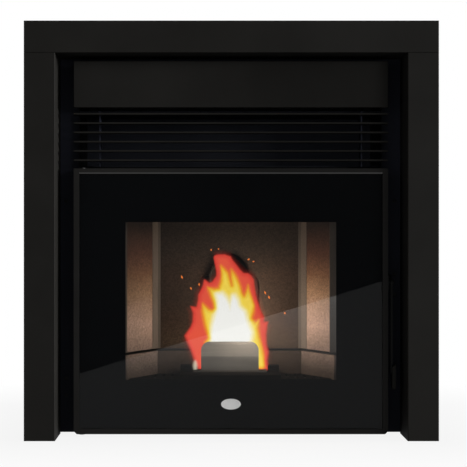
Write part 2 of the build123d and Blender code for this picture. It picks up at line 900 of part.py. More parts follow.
courses = {
    "lower": (firebox_floor, liner_joint_height - liner_joint / 2),
    "upper": (liner_joint_height + liner_joint / 2, liner_top),
}
for side, sign in sides.items():
    with BuildPart() as liner:
        for low, high in courses.values():
            with BuildSketch(lying(low)):
                with BuildLine():
                    Polyline(
                        (sign * wall_x(firebox_back), firebox_back),
                        (sign * wall_x(firebox_front), firebox_front),
                        (sign * wall_x(firebox_front, liner_thickness), firebox_front),
                        (sign * wall_x(firebox_back, liner_thickness), firebox_back),
                        close=True,
                    )
                make_face()
            extrude(amount=high - low)
    pieces[f"{side}_liner"] = liner

cover_low = seat_top + cover_foot


def cover_outline(grow=0.0):
    """Upright outline of the back cover plate with its rounded top corners, grown by a margin."""
    with BuildSketch(facing(firebox_back)) as outline:
        with Locations((0, (cover_low + cover_top + grow) / 2)):
            Rectangle(cover_width + 2 * grow, cover_top + grow - cover_low)
        fillet(outline.vertices().group_by(Axis.Y)[-1], cover_corner + grow)
    return outline.sketch


with BuildPart() as cover_joint:
    extrude(cover_outline(cover_groove), amount=-cover_groove_depth)
    extrude(cover_outline(), amount=-cover_groove_depth, mode=Mode.SUBTRACT)

back_liner_rear = firebox_back + liner_thickness
back_liner_half = wall_x(back_liner_rear, liner_thickness) - liner_gap
with BuildPart() as back_liner:
    for low, high in courses.values():
        with BuildSketch(facing(firebox_back)):
            with Locations((0, (low + high) / 2)):
                Rectangle(2 * back_liner_half, high - low)
        extrude(amount=-liner_thickness)
    with BuildSketch(facing(firebox_back)):
        with Locations((0, igniter_height)):
            Circle(igniter_radius + seat_gap)
    extrude(amount=-liner_thickness, mode=Mode.SUBTRACT)
    add(cover_joint.part, mode=Mode.SUBTRACT)
    add(chute_clearance.part, mode=Mode.SUBTRACT)
pieces["back_liner"] = back_liner

with BuildPart() as baffle:
    with BuildSketch(lying(liner_top)):
        firebox_plan(firebox_front + baffle_setback, back_liner_rear, liner_thickness / 2)
    extrude(amount=baffle_thickness)
    chamfer(baffle.faces().sort_by(Axis.Y)[0].edges(), baffle_edge)
pieces["baffle"] = baffle

# over the upper course: angles in the back corners, flat strips on the side liners' front ends
with BuildPart() as liner_retainers:
    upper_low, upper_high = courses["upper"]
    angle_front = firebox_back - retainer_width * cos(splay)
    angle_face = firebox_back - retainer_sheet
    for side, sign in sides.items():
        with BuildSketch(lying(upper_low)):
            with BuildLine():
                Polyline(
                    (sign * (firebox_back_half - retainer_back_width), firebox_back),
                    (sign * wall_x(firebox_back), firebox_back),
                    (sign * wall_x(angle_front), angle_front),
                    (sign * wall_x(angle_front, -retainer_sheet), angle_front),
                    (sign * wall_x(angle_face, -retainer_sheet), angle_face),
                    (sign * (firebox_back_half - retainer_back_width), angle_face),
                    close=True,
                )
            make_face()
        extrude(amount=upper_high - upper_low)
        strip_x = wall_x(firebox_front) - front_retainer_laps[side] + front_retainer_width / 2
        with BuildSketch(facing(firebox_front)):
            with Locations((sign * strip_x, (upper_low + upper_high) / 2)):
                Rectangle(front_retainer_width, upper_high - upper_low)
        extrude(amount=retainer_sheet)
pieces["liner_retainers"] = liner_retainers

with BuildPart() as back_cover_plate:
    extrude(cover_outline(), amount=cover_sheet)
    with BuildSketch(facing(firebox_back)):
        with Locations((0, igniter_height)):
            Circle(igniter_radius + seat_gap)
        with Locations((0, chute_height)):
            Circle(chute_radius + seat_gap)
    extrude(amount=cover_sheet, mode=Mode.SUBTRACT)
pieces["back_cover_plate"] = back_cover_plate

# raised seat: a folded tray, open below, with the pot's hole in its top
seat_front = firebox_front + seat_setback
seat_rear = firebox_back - cover_sheet
with BuildPart() as burn_pot_seat:
    with BuildSketch(lying(firebox_floor)):
        with Locations((0, (seat_front + seat_rear) / 2)):
            Rectangle(seat_width, seat_rear - seat_front)
    extrude(amount=seat_height)
    chamfer(burn_pot_seat.faces().sort_by(Axis.Z)[-1].edges(), seat_edge)
    offset(amount=-shell_sheet, openings=burn_pot_seat.faces().sort_by(Axis.Z)[0])
    hole_half = pot_half_width + pot_widening + pot_clearance
    hole_depth = pot_half_depth + pot_widening + pot_clearance
    block(
        (-hole_half, hole_half),
        (pot_centre - hole_depth, pot_centre + hole_depth),
        (seat_top - shell_sheet, seat_top),
        Mode.SUBTRACT,
    )
    for sign in sides.values():
        lug_x = sign * (seat_width / 2 - seat_lug_inset)
        lug_rear = seat_rear - seat_lug_gap
        block(
            (lug_x - seat_lug_width / 2, lug_x + seat_lug_width / 2),
            (lug_rear - seat_lug_depth, lug_rear),
            (seat_top, seat_top + seat_lug_height),
        )
pieces["burn_pot_seat"] = burn_pot_seat

grate_front = firebox_front + grate_front_gap
grate_rear = firebox_back - retainer_sheet - grate_gap
with BuildPart() as ash_grates:
    for sign in sides.values():
        inner = seat_width / 2 + grate_gap
        for rim, mode in ((0.0, Mode.ADD), (grate_rim, Mode.SUBTRACT)):
            front, rear, wall = grate_front + rim, grate_rear - rim, -grate_side_gap - rim
            with BuildSketch(lying(firebox_floor)):
                if mode == Mode.SUBTRACT:
                    first_slot = seat_width / 2 + grate_slot_margin
                    for number in range(grate_slots):
                        slot_x = sign * (first_slot + number * grate_slot_pitch)
                        with Locations((slot_x, (front + rear) / 2)):
                            Rectangle(grate_slot_width, rear - front)
                with BuildLine():
                    Polyline(
                        (sign * (inner + rim), front),
                        (sign * wall_x(front, wall), front),
                        (sign * wall_x(rear, wall), rear),
                        (sign * (inner + rim), rear),
                        close=True,
                    )
                make_face(mode=Mode.ADD if mode == Mode.ADD else Mode.INTERSECT)
            extrude(amount=grate_thickness, mode=mode)
pieces["ash_grates"] = ash_grates

with BuildPart() as burn_pot:
    with BuildSketch(lying(pot_bottom)):
        with Locations((0, pot_centre)):
            RectangleRounded(2 * pot_half_width, 2 * pot_half_depth, pot_corner)
    extrude(amount=pot_top - pot_bottom, taper=-pot_taper)
    with BuildSketch(lying(seat_top)):
        with Locations((0, (pot_flange_front + pot_flange_rear) / 2)):
            Rectangle(pot_flange_width, pot_flange_rear - pot_flange_front)
    extrude(amount=pot_flange)
    with BuildSketch(lying(pot_bottom + pot_wall)):
        with Locations((0, pot_centre)):
            RectangleRounded(
                2 * (pot_half_width - pot_wall), 2 * (pot_half_depth - pot_wall), pot_corner - pot_wall
            )
    extrude(amount=pot_top - pot_bottom, taper=-pot_taper, mode=Mode.SUBTRACT)
    with BuildSketch(lying(pot_bottom)):
        with Locations((0, pot_centre)):
            with GridLocations(pot_hole_pitch, pot_hole_rows_pitch, 6, 2):
                Circle(pot_hole_radius)
    extrude(amount=pot_wall, mode=Mode.SUBTRACT)
    with BuildSketch(facing(pot_centre)):
        with Locations((0, igniter_height)):
            Circle(igniter_radius + pot_clearance)
    extrude(amount=-pot_inset, mode=Mode.SUBTRACT)
pieces["burn_pot"] = burn_pot

# front plate of the pot: folded side profile trimmed to its rounded outline, hooked on the rim
shield_bottom = seat_top + pot_flange
shield_top = shield_bottom + shield_height
shield_fold = shield_bottom + shield_crease
shield_y = pot_flange_front
with BuildPart() as burn_pot_shield:
    with BuildSketch(across(-shield_width / 2)):
        lean = (shield_top - shield_fold) * shield_lean
        with BuildLine():
            Polyline(
                (shield_y, shield_bottom),
                (shield_y, shield_fold),
                (shield_y + lean, shield_top),
                (shield_y + lean + shield_sheet, shield_top),
                (shield_y + shield_sheet, shield_fold),
                (shield_y + shield_sheet, shield_bottom),
                close=True,
            )
        make_face()
    extrude(amount=shield_width)
    with BuildSketch(facing(shield_y)) as shield_outline:
        with Locations((0, (shield_bottom + shield_top) / 2)):
            Rectangle(shield_width, shield_height)
        fillet(shield_outline.vertices().group_by(Axis.Y)[-1], shield_corner)
    extrude(amount=-lean - shield_sheet, mode=Mode.INTERSECT)
    hook_y = shield_y + shield_sheet
    for sign in sides.values():
        hook_x = sign * shield_hook_offset
        block(
            (hook_x - shield_hook / 2, hook_x + shield_hook / 2),
            (hook_y - pot_clearance, hook_y + shield_hook_reach),
            (pot_top, pot_top + shield_hook_sheet),
        )
pieces["burn_pot_shield"] = burn_pot_shield

pan_front = firebox_front + pan_setback
pan_rear = pan_front + pan_depth
with BuildPart() as ash_pan:
    with BuildSketch(lying(shell_bottom + shell_sheet)):
        with Locations((0, (pan_front + pan_rear) / 2)):
            Rectangle(2 * pan_half, pan_rear - pan_front)
    extrude(amount=pan_height)
    fillet(ash_pan.edges().filter_by(Axis.Z), pan_corner)
    offset(amount=-pan_sheet, openings=ash_pan.faces().sort_by(Axis.Z)[-1])
    with BuildSketch(facing(pan_front)):
        with Locations((0, shell_bottom + pan_height / 2)):
            SlotOverall(pan_grip_length, pan_grip_height)
            SlotOverall(
                pan_grip_length - 2 * pan_grip_wall,
                pan_grip_height - 2 * pan_grip_wall,
                mode=Mode.SUBTRACT,
            )
    extrude(amount=pan_grip_reach)
pieces["ash_pan"] = ash_pan

with BuildPart() as igniter:
    with BuildSketch(facing(seat_rear - igniter_tip)):
        with Locations((0, igniter_height)):
            Circle(igniter_radius)
    extrude(amount=-(shell_rear - seat_rear + igniter_tip + igniter_tail))
    with BuildSketch(facing(shell_rear)):
        with Locations((0, igniter_height)):
            Circle(igniter_nut_radius)
    extrude(amount=-igniter_nut)
pieces["igniter"] = igniter

# ---------------------------------------------------------------- heat exchanger and smoke path
duct_left = smoke_fan_left - smoke_duct_width
duct_low = smoke_fan_height - smoke_duct_foot
duct_high = exchanger_top - smoke_duct_headroom
duct_port_x = (duct_left + smoke_port_rim, smoke_fan_left - smoke_port_rim)
duct_port_z = (shell_top + smoke_port_margin, duct_high - smoke_port_margin)
with BuildPart() as heat_exchanger:
    with BuildSketch(lying(shell_top)):
        with Locations((0, (exchanger_front + exchanger_rear) / 2)):
            Rectangle(2 * exchanger_half, exchanger_rear - exchanger_front)
    extrude(amount=exchanger_top - shell_top)
    offset(amount=-shell_sheet, openings=heat_exchanger.faces().sort_by(Axis.Z)[0])
    tube_length = exchanger_rear - exchanger_front + 2 * exchanger_tube_stub
    for wall, mode in ((0.0, Mode.ADD), (exchanger_tube_wall, Mode.SUBTRACT)):
        with BuildSketch(facing(exchanger_front - exchanger_tube_stub)):
            with Locations((exchanger_tube_shift, (shell_top + exchanger_top) / 2)):
                with GridLocations(exchanger_tube_pitch, 0, exchanger_tubes, 1):
                    Circle(exchanger_tube_radius - wall)
        extrude(amount=-tube_length, mode=mode)
    block(duct_port_x, (exchanger_rear - shell_sheet, exchanger_rear), duct_port_z, Mode.SUBTRACT)
pieces["heat_exchanger"] = heat_exchanger


def smoke_duct_side(inset):
    """Side outline of the duct from the heat exchanger down to the smoke fan's eye, inside a sketch."""
    foot_rear = smoke_fan_y + smoke_duct_foot
    foot_top = smoke_fan_height + smoke_duct_foot
    riser_rear = exchanger_rear + smoke_duct_width
    with BuildLine() as outline:
        Polyline(
            (exchanger_rear + inset, duct_low + inset),
            (foot_rear - inset, duct_low + inset),
            (foot_rear - inset, foot_top - inset),
            (riser_rear - inset, foot_top - inset),
            (riser_rear - inset, duct_high - inset),
            (exchanger_rear + inset, duct_high - inset),
            close=True,
        )
    make_face(outline.edges())


with BuildPart() as smoke_duct:
    with BuildSketch(across(duct_left)):
        smoke_duct_side(0)
    extrude(amount=smoke_duct_width)
    with BuildSketch(across(duct_left + fan_wall)):
        smoke_duct_side(fan_wall)
    extrude(amount=smoke_duct_width - 2 * fan_wall, mode=Mode.SUBTRACT)
    block(duct_port_x, (exchanger_rear, exchanger_rear + fan_wall), duct_port_z, Mode.SUBTRACT)
    with BuildSketch(across(smoke_fan_left)):
        with Locations((smoke_fan_y, smoke_fan_height)):
            Circle(smoke_eye_radius)
    extrude(amount=-fan_wall, mode=Mode.SUBTRACT)
pieces["smoke_duct"] = smoke_duct

# scroll with its outlet towards the rear, drawn out to a round spigot
smoke_side = Plane(
    origin=(smoke_fan_left, smoke_fan_y, smoke_fan_height), x_dir=(0, 0, -1), z_dir=(1, 0, 0)
)
outlet_side = 4 * smoke_fan_step
with BuildPart() as smoke_fan_housing:
    with BuildSketch(smoke_side):
        volute(smoke_fan_volute, smoke_fan_step, smoke_fan_outlet)
    extrude(amount=smoke_fan_width)
    for wall, mode in ((0.0, Mode.ADD), (flue_wall, Mode.SUBTRACT)):
        with BuildSketch(facing(smoke_outlet_y)):
            with Locations((flue_offset, flue_height)):
                Rectangle(smoke_fan_width - 2 * wall, outlet_side - 2 * wall)
        with BuildSketch(facing(smoke_outlet_y + smoke_fan_transition)):
            with Locations((flue_offset, flue_height)):
                Circle(flue_radius - wall)
        loft(mode=mode)
        with BuildSketch(facing(smoke_outlet_y + smoke_fan_transition)):
            with Locations((flue_offset, flue_height)):
                Circle(flue_radius - wall)
        extrude(amount=-(spigot_reach + collar_length), mode=mode)
        if mode == Mode.ADD:
            with BuildSketch(facing(casing_rear)):
                with Locations((flue_offset, flue_height)):
                    Circle(flue_radius + collar_width)
            extrude(amount=collar_length)
    with BuildSketch(smoke_side.offset(fan_wall)):
        volute(smoke_fan_volute, smoke_fan_step, smoke_fan_outlet)
        offset(amount=-fan_wall, mode=Mode.REPLACE)
    extrude(amount=smoke_fan_width - 2 * fan_wall, mode=Mode.SUBTRACT)
    block(
        (smoke_fan_left + fan_wall, smoke_fan_right - fan_wall),
        (smoke_outlet_y - fan_wall, smoke_outlet_y),
        (flue_height - outlet_side / 2 + fan_wall, flue_height + outlet_side / 2 - fan_wall),
        Mode.SUBTRACT,
    )
    with BuildSketch(smoke_side):
        Circle(smoke_eye_radius)
    extrude(amount=fan_wall, mode=Mode.SUBTRACT)
    with BuildSketch(smoke_side.offset(smoke_fan_width - fan_wall)):
        Circle(smoke_fan_shaft + smoke_shaft_relief)
    extrude(amount=fan_wall, mode=Mode.SUBTRACT)
pieces["smoke_fan_housing"] = smoke_fan_housing

rotor_length = smoke_fan_width - smoke_rotor_gap - smoke_rotor_end
with BuildPart() as smoke_impeller:
    with BuildSketch(smoke_side.offset(smoke_fan_width - smoke_rotor_end)):
        Circle(smoke_rotor_radius)
    extrude(amount=smoke_rotor_plate)
    blade_length = smoke_rotor_radius - smoke_rotor_hub + smoke_rotor_plate
    with BuildSketch(smoke_side.offset(smoke_rotor_gap)):
        Circle(smoke_rotor_hub)
        with PolarLocations(smoke_rotor_radius - blade_length / 2, smoke_rotor_blades):
            Rectangle(blade_length, smoke_rotor_plate)
    extrude(amount=rotor_length)
    with BuildSketch(smoke_side.offset(smoke_rotor_gap)):
        Circle(smoke_fan_shaft)
    extrude(amount=smoke_fan_width - smoke_rotor_gap + smoke_shaft_tail)
pieces["smoke_impeller"] = smoke_impeller

with BuildPart() as smoke_motor:
    with BuildSketch(smoke_side.offset(smoke_fan_width)):
        RectangleRounded(smoke_motor_side, smoke_motor_side, smoke_motor_corner)
    extrude(amount=motor_flange)
    with BuildSketch(smoke_side.offset(smoke_fan_width + motor_flange)):
        Circle(smoke_motor_radius)
    extrude(amount=smoke_motor_length)
    fillet(smoke_motor.faces().sort_by(Axis.X)[-1].edges(), smoke_motor_edge)
    with BuildSketch(smoke_side.offset(smoke_fan_width)):
        Circle(smoke_fan_shaft + shaft_clearance)
    extrude(amount=motor_bore_depth, mode=Mode.SUBTRACT)
pieces["smoke_motor"] = smoke_motor

with BuildPart() as air_inlet:
    with BuildSketch(facing(shell_rear)):
        with Locations((inlet_offset, inlet_height)):
            Circle(inlet_radius)
    extrude(amount=-(y_rear - shell_rear))
    with BuildSketch(facing(shell_rear)):
        with Locations((inlet_offset, inlet_height)):
            Circle(inlet_radius + inlet_flange)
    extrude(amount=-inlet_flange_sheet)
    with BuildSketch(facing(casing_rear)):
        with Locations((inlet_offset, inlet_height)):
            Circle(inlet_radius + collar_width)
    extrude(amount=collar_length)
    with BuildSketch(facing(shell_rear)):
        with Locations((inlet_offset, inlet_height)):
            Circle(inlet_radius - inlet_wall)
    extrude(amount=-(y_rear - shell_rear), mode=Mode.SUBTRACT)
pieces["air_inlet"] = air_inlet

# ---------------------------------------------------------------- pellet store and auger
hopper_top = shelf_height - casing_sheet
hopper_mid = (hopper_front + hopper_rear) / 2
throat_mid = (hopper_throat_left + hopper_throat_right) / 2
with BuildPart() as hopper:
    with BuildSketch(lying(hopper_top)):
        with Locations((0, hopper_mid)):
            Rectangle(2 * (hopper_half + hopper_flange), hopper_rear - hopper_front + 2 * hopper_flange)
    extrude(amount=-hopper_sheet)
    for wall, mode in ((0.0, Mode.ADD), (hopper_sheet, Mode.SUBTRACT)):
        with BuildSketch(lying(hopper_top)):
            with Locations((0, hopper_mid)):
                Rectangle(2 * (hopper_half - wall), hopper_rear - hopper_front - 2 * wall)
        with BuildSketch(lying(hopper_throat_top)):
            with Locations((throat_mid, auger_y)):
                Rectangle(
                    hopper_throat_right - hopper_throat_left - 2 * wall,
                    2 * (hopper_throat_half - wall),
                )
        loft(ruled=True, mode=mode)
        with BuildSketch(lying(hopper_throat_top)):
            with Locations((throat_mid, auger_y)):
                Rectangle(
                    hopper_throat_right - hopper_throat_left - 2 * wall,
                    2 * (hopper_throat_half - wall),
                )
        extrude(amount=-(hopper_throat_top - auger_height), mode=mode)
    add(auger_clearance.part, mode=Mode.SUBTRACT)
pieces["hopper"] = hopper

auger_axis = Plane(origin=(auger_left, auger_y, auger_height), x_dir=(0, 1, 0), z_dir=(1, 0, 0))
auger_length = auger_right - auger_left
chute_down = Plane(origin=(0, auger_y, auger_height), x_dir=(1, 0, 0), z_dir=(0, -1, -1))
with BuildPart() as auger_tube:
    with BuildSketch(auger_axis):
        Circle(auger_tube_radius)
    extrude(amount=auger_length)
    with BuildSketch(auger_axis.offset(auger_tube_wall)):
        Circle(auger_tube_radius - auger_tube_wall)
    extrude(amount=auger_length - 2 * auger_tube_wall, mode=Mode.SUBTRACT)
    with BuildSketch(auger_axis):
        Circle(auger_shaft_radius + shaft_clearance)
    extrude(amount=auger_length, mode=Mode.SUBTRACT)
    with BuildSketch(chute_down):
        Circle(auger_chute_hole)
    extrude(amount=2 * auger_tube_radius, mode=Mode.SUBTRACT)
    with BuildSketch(lying(auger_height)):
        with Locations((throat_mid, auger_y)):
            Rectangle(
                hopper_throat_right - hopper_throat_left - 2 * hopper_throat_rim,
                2 * (hopper_throat_half - 2 * hopper_throat_rim),
            )
    extrude(amount=2 * auger_tube_radius, mode=Mode.SUBTRACT)
pieces["auger_tube"] = auger_tube

flight_start = auger_tube_wall + auger_flight_end
flight_path_length = auger_length - 2 * flight_start
flight_depth = auger_flight_radius - auger_shaft_radius + auger_flight_root
with BuildPart() as auger_screw:
    with BuildSketch(auger_axis.offset(-auger_shaft_tail)):
        Circle(auger_shaft_radius)
    extrude(amount=auger_length + auger_shaft_tail)
    helix = Helix(pitch=auger_pitch, height=flight_path_length, radius=auger_flight_radius)
    helix = auger_axis.offset(flight_start).location * helix
    with BuildSketch(Plane(origin=helix @ 0, x_dir=(0, 1, 0), z_dir=helix % 0)):
        with Locations((-flight_depth / 2, 0)):
            Rectangle(flight_depth, auger_flight_thickness)
    sweep(path=helix, is_frenet=True)
pieces["auger_screw"] = auger_screw

with BuildPart() as auger_motor:
    with BuildSketch(auger_axis):
        RectangleRounded(auger_gear_side, auger_gear_side, auger_gear_corner)
    extrude(amount=-auger_gear_length)
    with BuildSketch(auger_axis.offset(-auger_gear_length)):
        Circle(auger_motor_radius)
    extrude(amount=-auger_motor_length)
    chamfer(auger_motor.faces().sort_by(Axis.X)[0].edges(), auger_motor_edge)
    with BuildSketch(auger_axis):
        Circle(auger_shaft_radius + shaft_clearance)
    extrude(amount=-auger_bore_depth, mode=Mode.SUBTRACT)
pieces["auger_motor"] = auger_motor

# ---------------------------------------------------------------- room-air fan
room_side = Plane(origin=(room_fan_left, room_fan_y, room_fan_height), x_dir=(0, 1, 0), z_dir=(1, 0, 0))
room_eye_radius = room_drum_radius - room_drum_clearance
with BuildPart() as room_fan_housing:
    with BuildSketch(room_side):
        volute(room_fan_volute, room_fan_step, room_fan_outlet)
    extrude(amount=room_fan_width)
    for x in (room_fan_left + room_fan_foot, room_fan_right - room_fan_foot):
        block(
            (x - room_fan_foot / 2, x + room_fan_foot / 2),
            (room_fan_y - room_fan_foot_half, room_fan_y + room_fan_foot_half),
            (tray_top, room_fan_height - room_fan_foot_drop),
        )
    with BuildSketch(room_side.offset(fan_wall)):
        volute(room_fan_volute, room_fan_step, room_fan_outlet)
        offset(amount=-fan_wall, mode=Mode.REPLACE)
    extrude(amount=room_fan_width - 2 * fan_wall, mode=Mode.SUBTRACT)
    outlet_inner = room_fan_y + room_fan_volute + fan_wall
    block(
        (room_fan_left + fan_wall, room_fan_right - fan_wall),
        (outlet_inner, outlet_inner + 4 * room_fan_step - 2 * fan_wall),
        (room_fan_height + room_fan_outlet - fan_wall, room_fan_height + room_fan_outlet),
        Mode.SUBTRACT,
    )
    with BuildSketch(room_side):
        Circle(room_eye_radius)
    extrude(amount=room_fan_width, mode=Mode.SUBTRACT)
    with BuildSketch(room_side):
        Circle(room_fan_hub)
        with PolarLocations(room_eye_radius / 2 + fan_wall, room_fan_spokes):
            Rectangle(room_eye_radius, room_fan_spoke)
        Circle(room_fan_shaft + shaft_clearance, mode=Mode.SUBTRACT)
    extrude(amount=fan_wall)
pieces["room_fan_housing"] = room_fan_housing

with BuildSketch() as drum_blade:
    blade_mid = room_drum_blade_depth / 2
    blade_end = room_drum_blade_depth - room_blade_tip
    with BuildLine():
        ThreePointArc((0, 0), (blade_mid, room_blade_bow), (room_drum_blade_depth, 0))
        Line((room_drum_blade_depth, 0), (blade_end, -room_blade_sheet))
        ThreePointArc(
            (blade_end, -room_blade_sheet),
            (blade_mid, room_blade_bow - room_blade_sheet),
            (room_blade_tip, -room_blade_sheet),
        )
        Line((room_blade_tip, -room_blade_sheet), (0, 0))
    make_face()

drum_length = room_fan_width - 2 * room_drum_end
with BuildPart() as room_impeller:
    with BuildSketch(room_side.offset(room_drum_end)):
        with PolarLocations(room_drum_radius - room_drum_blade_depth, room_drum_blades):
            add(drum_blade.sketch)
    extrude(amount=drum_length)
    for start in (room_drum_end, room_drum_end + drum_length - room_drum_ring):
        with BuildSketch(room_side.offset(start)):
            Circle(room_drum_radius)
            Circle(room_drum_radius - room_drum_blade_depth - room_blade_tip, mode=Mode.SUBTRACT)
        extrude(amount=room_drum_ring)
    with BuildSketch(room_side.offset(room_fan_width / 2)):
        Circle(room_drum_radius)
    extrude(amount=room_drum_ring / 2, both=True)
    with BuildSketch(room_side):
        Circle(room_fan_shaft)
    extrude(amount=room_fan_width + room_shaft_tail)
pieces["room_impeller"] = room_impeller

with BuildPart() as room_motor:
    with BuildSketch(room_side.offset(room_fan_width)):
        Circle(room_motor_flange)
        with PolarLocations(room_eye_radius - room_motor_vent_inset, room_fan_spokes):
            Circle(room_motor_vent, mode=Mode.SUBTRACT)
    extrude(amount=motor_flange)
    with BuildSketch(room_side.offset(room_fan_width + motor_flange)):
        Circle(room_motor_radius)
    extrude(amount=room_motor_length)
    fillet(room_motor.faces().sort_by(Axis.X)[-1].edges(), room_motor_edge)
    with BuildSketch(room_side.offset(room_fan_width)):
        Circle(room_fan_shaft + shaft_clearance)
    extrude(amount=motor_bore_depth, mode=Mode.SUBTRACT)
pieces["room_motor"] = room_motor

# ---------------------------------------------------------------- controls
with BuildPart() as control_box:
    with BuildSketch(across(casing_inner)):
        with Locations((control_y, control_height)):
            RectangleRounded(control_length, control_rise, control_corner)
    extrude(amount=-control_width)
    with BuildSketch(across(casing_inner - control_width)):
        with Locations((control_y, control_height)):
            with GridLocations(0, control_slot_pitch, 1, control_slots):
                SlotOverall(control_slot_length, control_slot_width)
    extrude(amount=control_slot_depth, mode=Mode.SUBTRACT)
pieces["control_box"] = control_box

socket_floor = casing_rear + socket_flange_sheet - socket_recess
with BuildPart() as power_inlet:
    with BuildSketch(facing(casing_rear)):
        with Locations((socket_offset, socket_height)):
            RectangleRounded(
                socket_length + 2 * socket_flange, socket_width + 2 * socket_flange, socket_flange
            )
        with Locations((socket_offset, switch_height)):
            RectangleRounded(
                switch_length + 2 * switch_flange, switch_width + 2 * switch_flange, switch_flange
            )
    extrude(amount=-socket_flange_sheet)
    with BuildSketch(facing(casing_rear)):
        with Locations((socket_offset, socket_height)):
            Rectangle(socket_length, socket_width)
        with Locations((socket_offset, switch_height)):
            Rectangle(switch_length, switch_width)
    extrude(amount=socket_depth)
    with BuildSketch(facing(casing_rear + socket_flange_sheet)):
        with Locations((socket_offset, socket_height)):
            Rectangle(socket_length - 2 * socket_wall, socket_width - 2 * socket_wall)
        with Locations((socket_offset, switch_height)):
            Rectangle(rocker_length + 2 * rocker_play, switch_width - 2 * switch_wall)
    extrude(amount=socket_recess, mode=Mode.SUBTRACT)
    with BuildSketch(facing(socket_floor)):
        with Locations((socket_offset, socket_height)):
            with Locations(
                (-socket_pin_pitch, socket_pin_shift),
                (0, -socket_pin_shift),
                (socket_pin_pitch, socket_pin_shift),
            ):
                Rectangle(socket_pin_width, socket_pin_height)
    extrude(amount=-socket_pin_length)
    with BuildSketch(across(socket_offset)):
        with Locations((casing_rear, switch_height)):
            Circle(rocker_pin_radius + shaft_clearance)
    extrude(amount=rocker_length / 2 + 2 * switch_wall, both=True, mode=Mode.SUBTRACT)
pieces["power_inlet"] = power_inlet

tilt = radians(rocker_tilt)
rocker_side = Plane(
    origin=(socket_offset, casing_rear, switch_height), x_dir=(0, cos(tilt), sin(tilt)), z_dir=(1, 0, 0)
)
with BuildPart() as power_switch:
    with BuildSketch(rocker_side):
        with BuildLine():
            Polyline(
                (-rocker_back, -rocker_half + rocker_play),
                (rocker_front, -rocker_half),
                (rocker_front - rocker_dip, 0),
                (rocker_front, rocker_half),
                (-rocker_back, rocker_half - rocker_play),
                close=True,
            )
        make_face()
    extrude(amount=rocker_length / 2, both=True)
    with BuildSketch(rocker_side):
        Circle(rocker_pin_radius)
    extrude(amount=rocker_length / 2 + rocker_pin_reach, both=True)
pieces["power_switch"] = power_switch

with BuildPart() as safety_thermostat:
    with BuildSketch(facing(panel_inner)):
        with Locations((socket_offset, reset_height)):
            Circle(thermostat_radius)
    extrude(amount=thermostat_depth)
    with BuildSketch(facing(panel_inner)):
        with Locations((socket_offset, reset_height)):
            Circle(reset_radius + thermostat_wall)
    extrude(amount=-thermostat_nose)
    with BuildSketch(facing(panel_inner + thermostat_nose)):
        with Locations((socket_offset, reset_height)):
            Circle(reset_radius + seat_gap)
    extrude(amount=thermostat_nose + reset_length - seat_gap, mode=Mode.SUBTRACT)
pieces["safety_thermostat"] = safety_thermostat

with BuildPart() as reset_button:
    with BuildSketch(facing(panel_inner + reset_reach)):
        with Locations((socket_offset, reset_height)):
            Circle(reset_radius)
    extrude(amount=reset_length)
    fillet(reset_button.faces().sort_by(Axis.Y)[-1].edges(), reset_edge)
pieces["reset_button"] = reset_button

# ---------------------------------------------------------------- door
rebate_width = door_width - 2 * door_wall
rebate_height = door_height - 2 * door_wall
pivot_z = {
    "bottom": (door_bottom + door_wall, door_bottom + door_wall + pivot_block_height),
    "top": (door_top - door_wall - pivot_block_height, door_top - door_wall),
}
with BuildPart() as door_frame:
    with BuildSketch(facing(door_y)) as frame_outline:
        with Locations((0, door_centre)):
            Rectangle(door_width, door_height)
        chamfer(frame_outline.vertices().group_by(Axis.Y)[0], door_corner)
        with Locations((0, door_centre)):
            Rectangle(door_width - 2 * door_face, door_height - 2 * door_face, mode=Mode.SUBTRACT)
    extrude(amount=-door_thickness)
    with BuildSketch(facing(glass_y)):
        with Locations((0, door_centre)):
            Rectangle(rebate_width, rebate_height)
    extrude(amount=-(door_back - glass_y), mode=Mode.SUBTRACT)
    front_edges = door_frame.faces().sort_by(Axis.Y)[0].outer_wire().edges()
    toe = front_edges.sort_by(Axis.Z)[0]
    fillet(toe, door_toe)
    door_front = door_frame.faces().sort_by(Axis.Y)[0]
    rails = door_front.inner_wires()[0].edges().filter_by(Axis.X)
    chamfer(rails, door_bevel, door_bevel_depth, reference=door_front)
    with BuildSketch(lying(door_bottom)):
        with Locations((pivot_x, pivot_y)):
            Circle(pivot_radius + pivot_relief)
    extrude(amount=door_height, mode=Mode.SUBTRACT)
pieces["door_frame"] = door_frame

with BuildPart() as door_glass:
    with BuildSketch(facing(glass_y)):
        with Locations((0, door_centre)):
            Rectangle(rebate_width - 2 * glass_gap, rebate_height - 2 * glass_gap)
    extrude(amount=-glass_thickness)
pieces["door_glass"] = door_glass

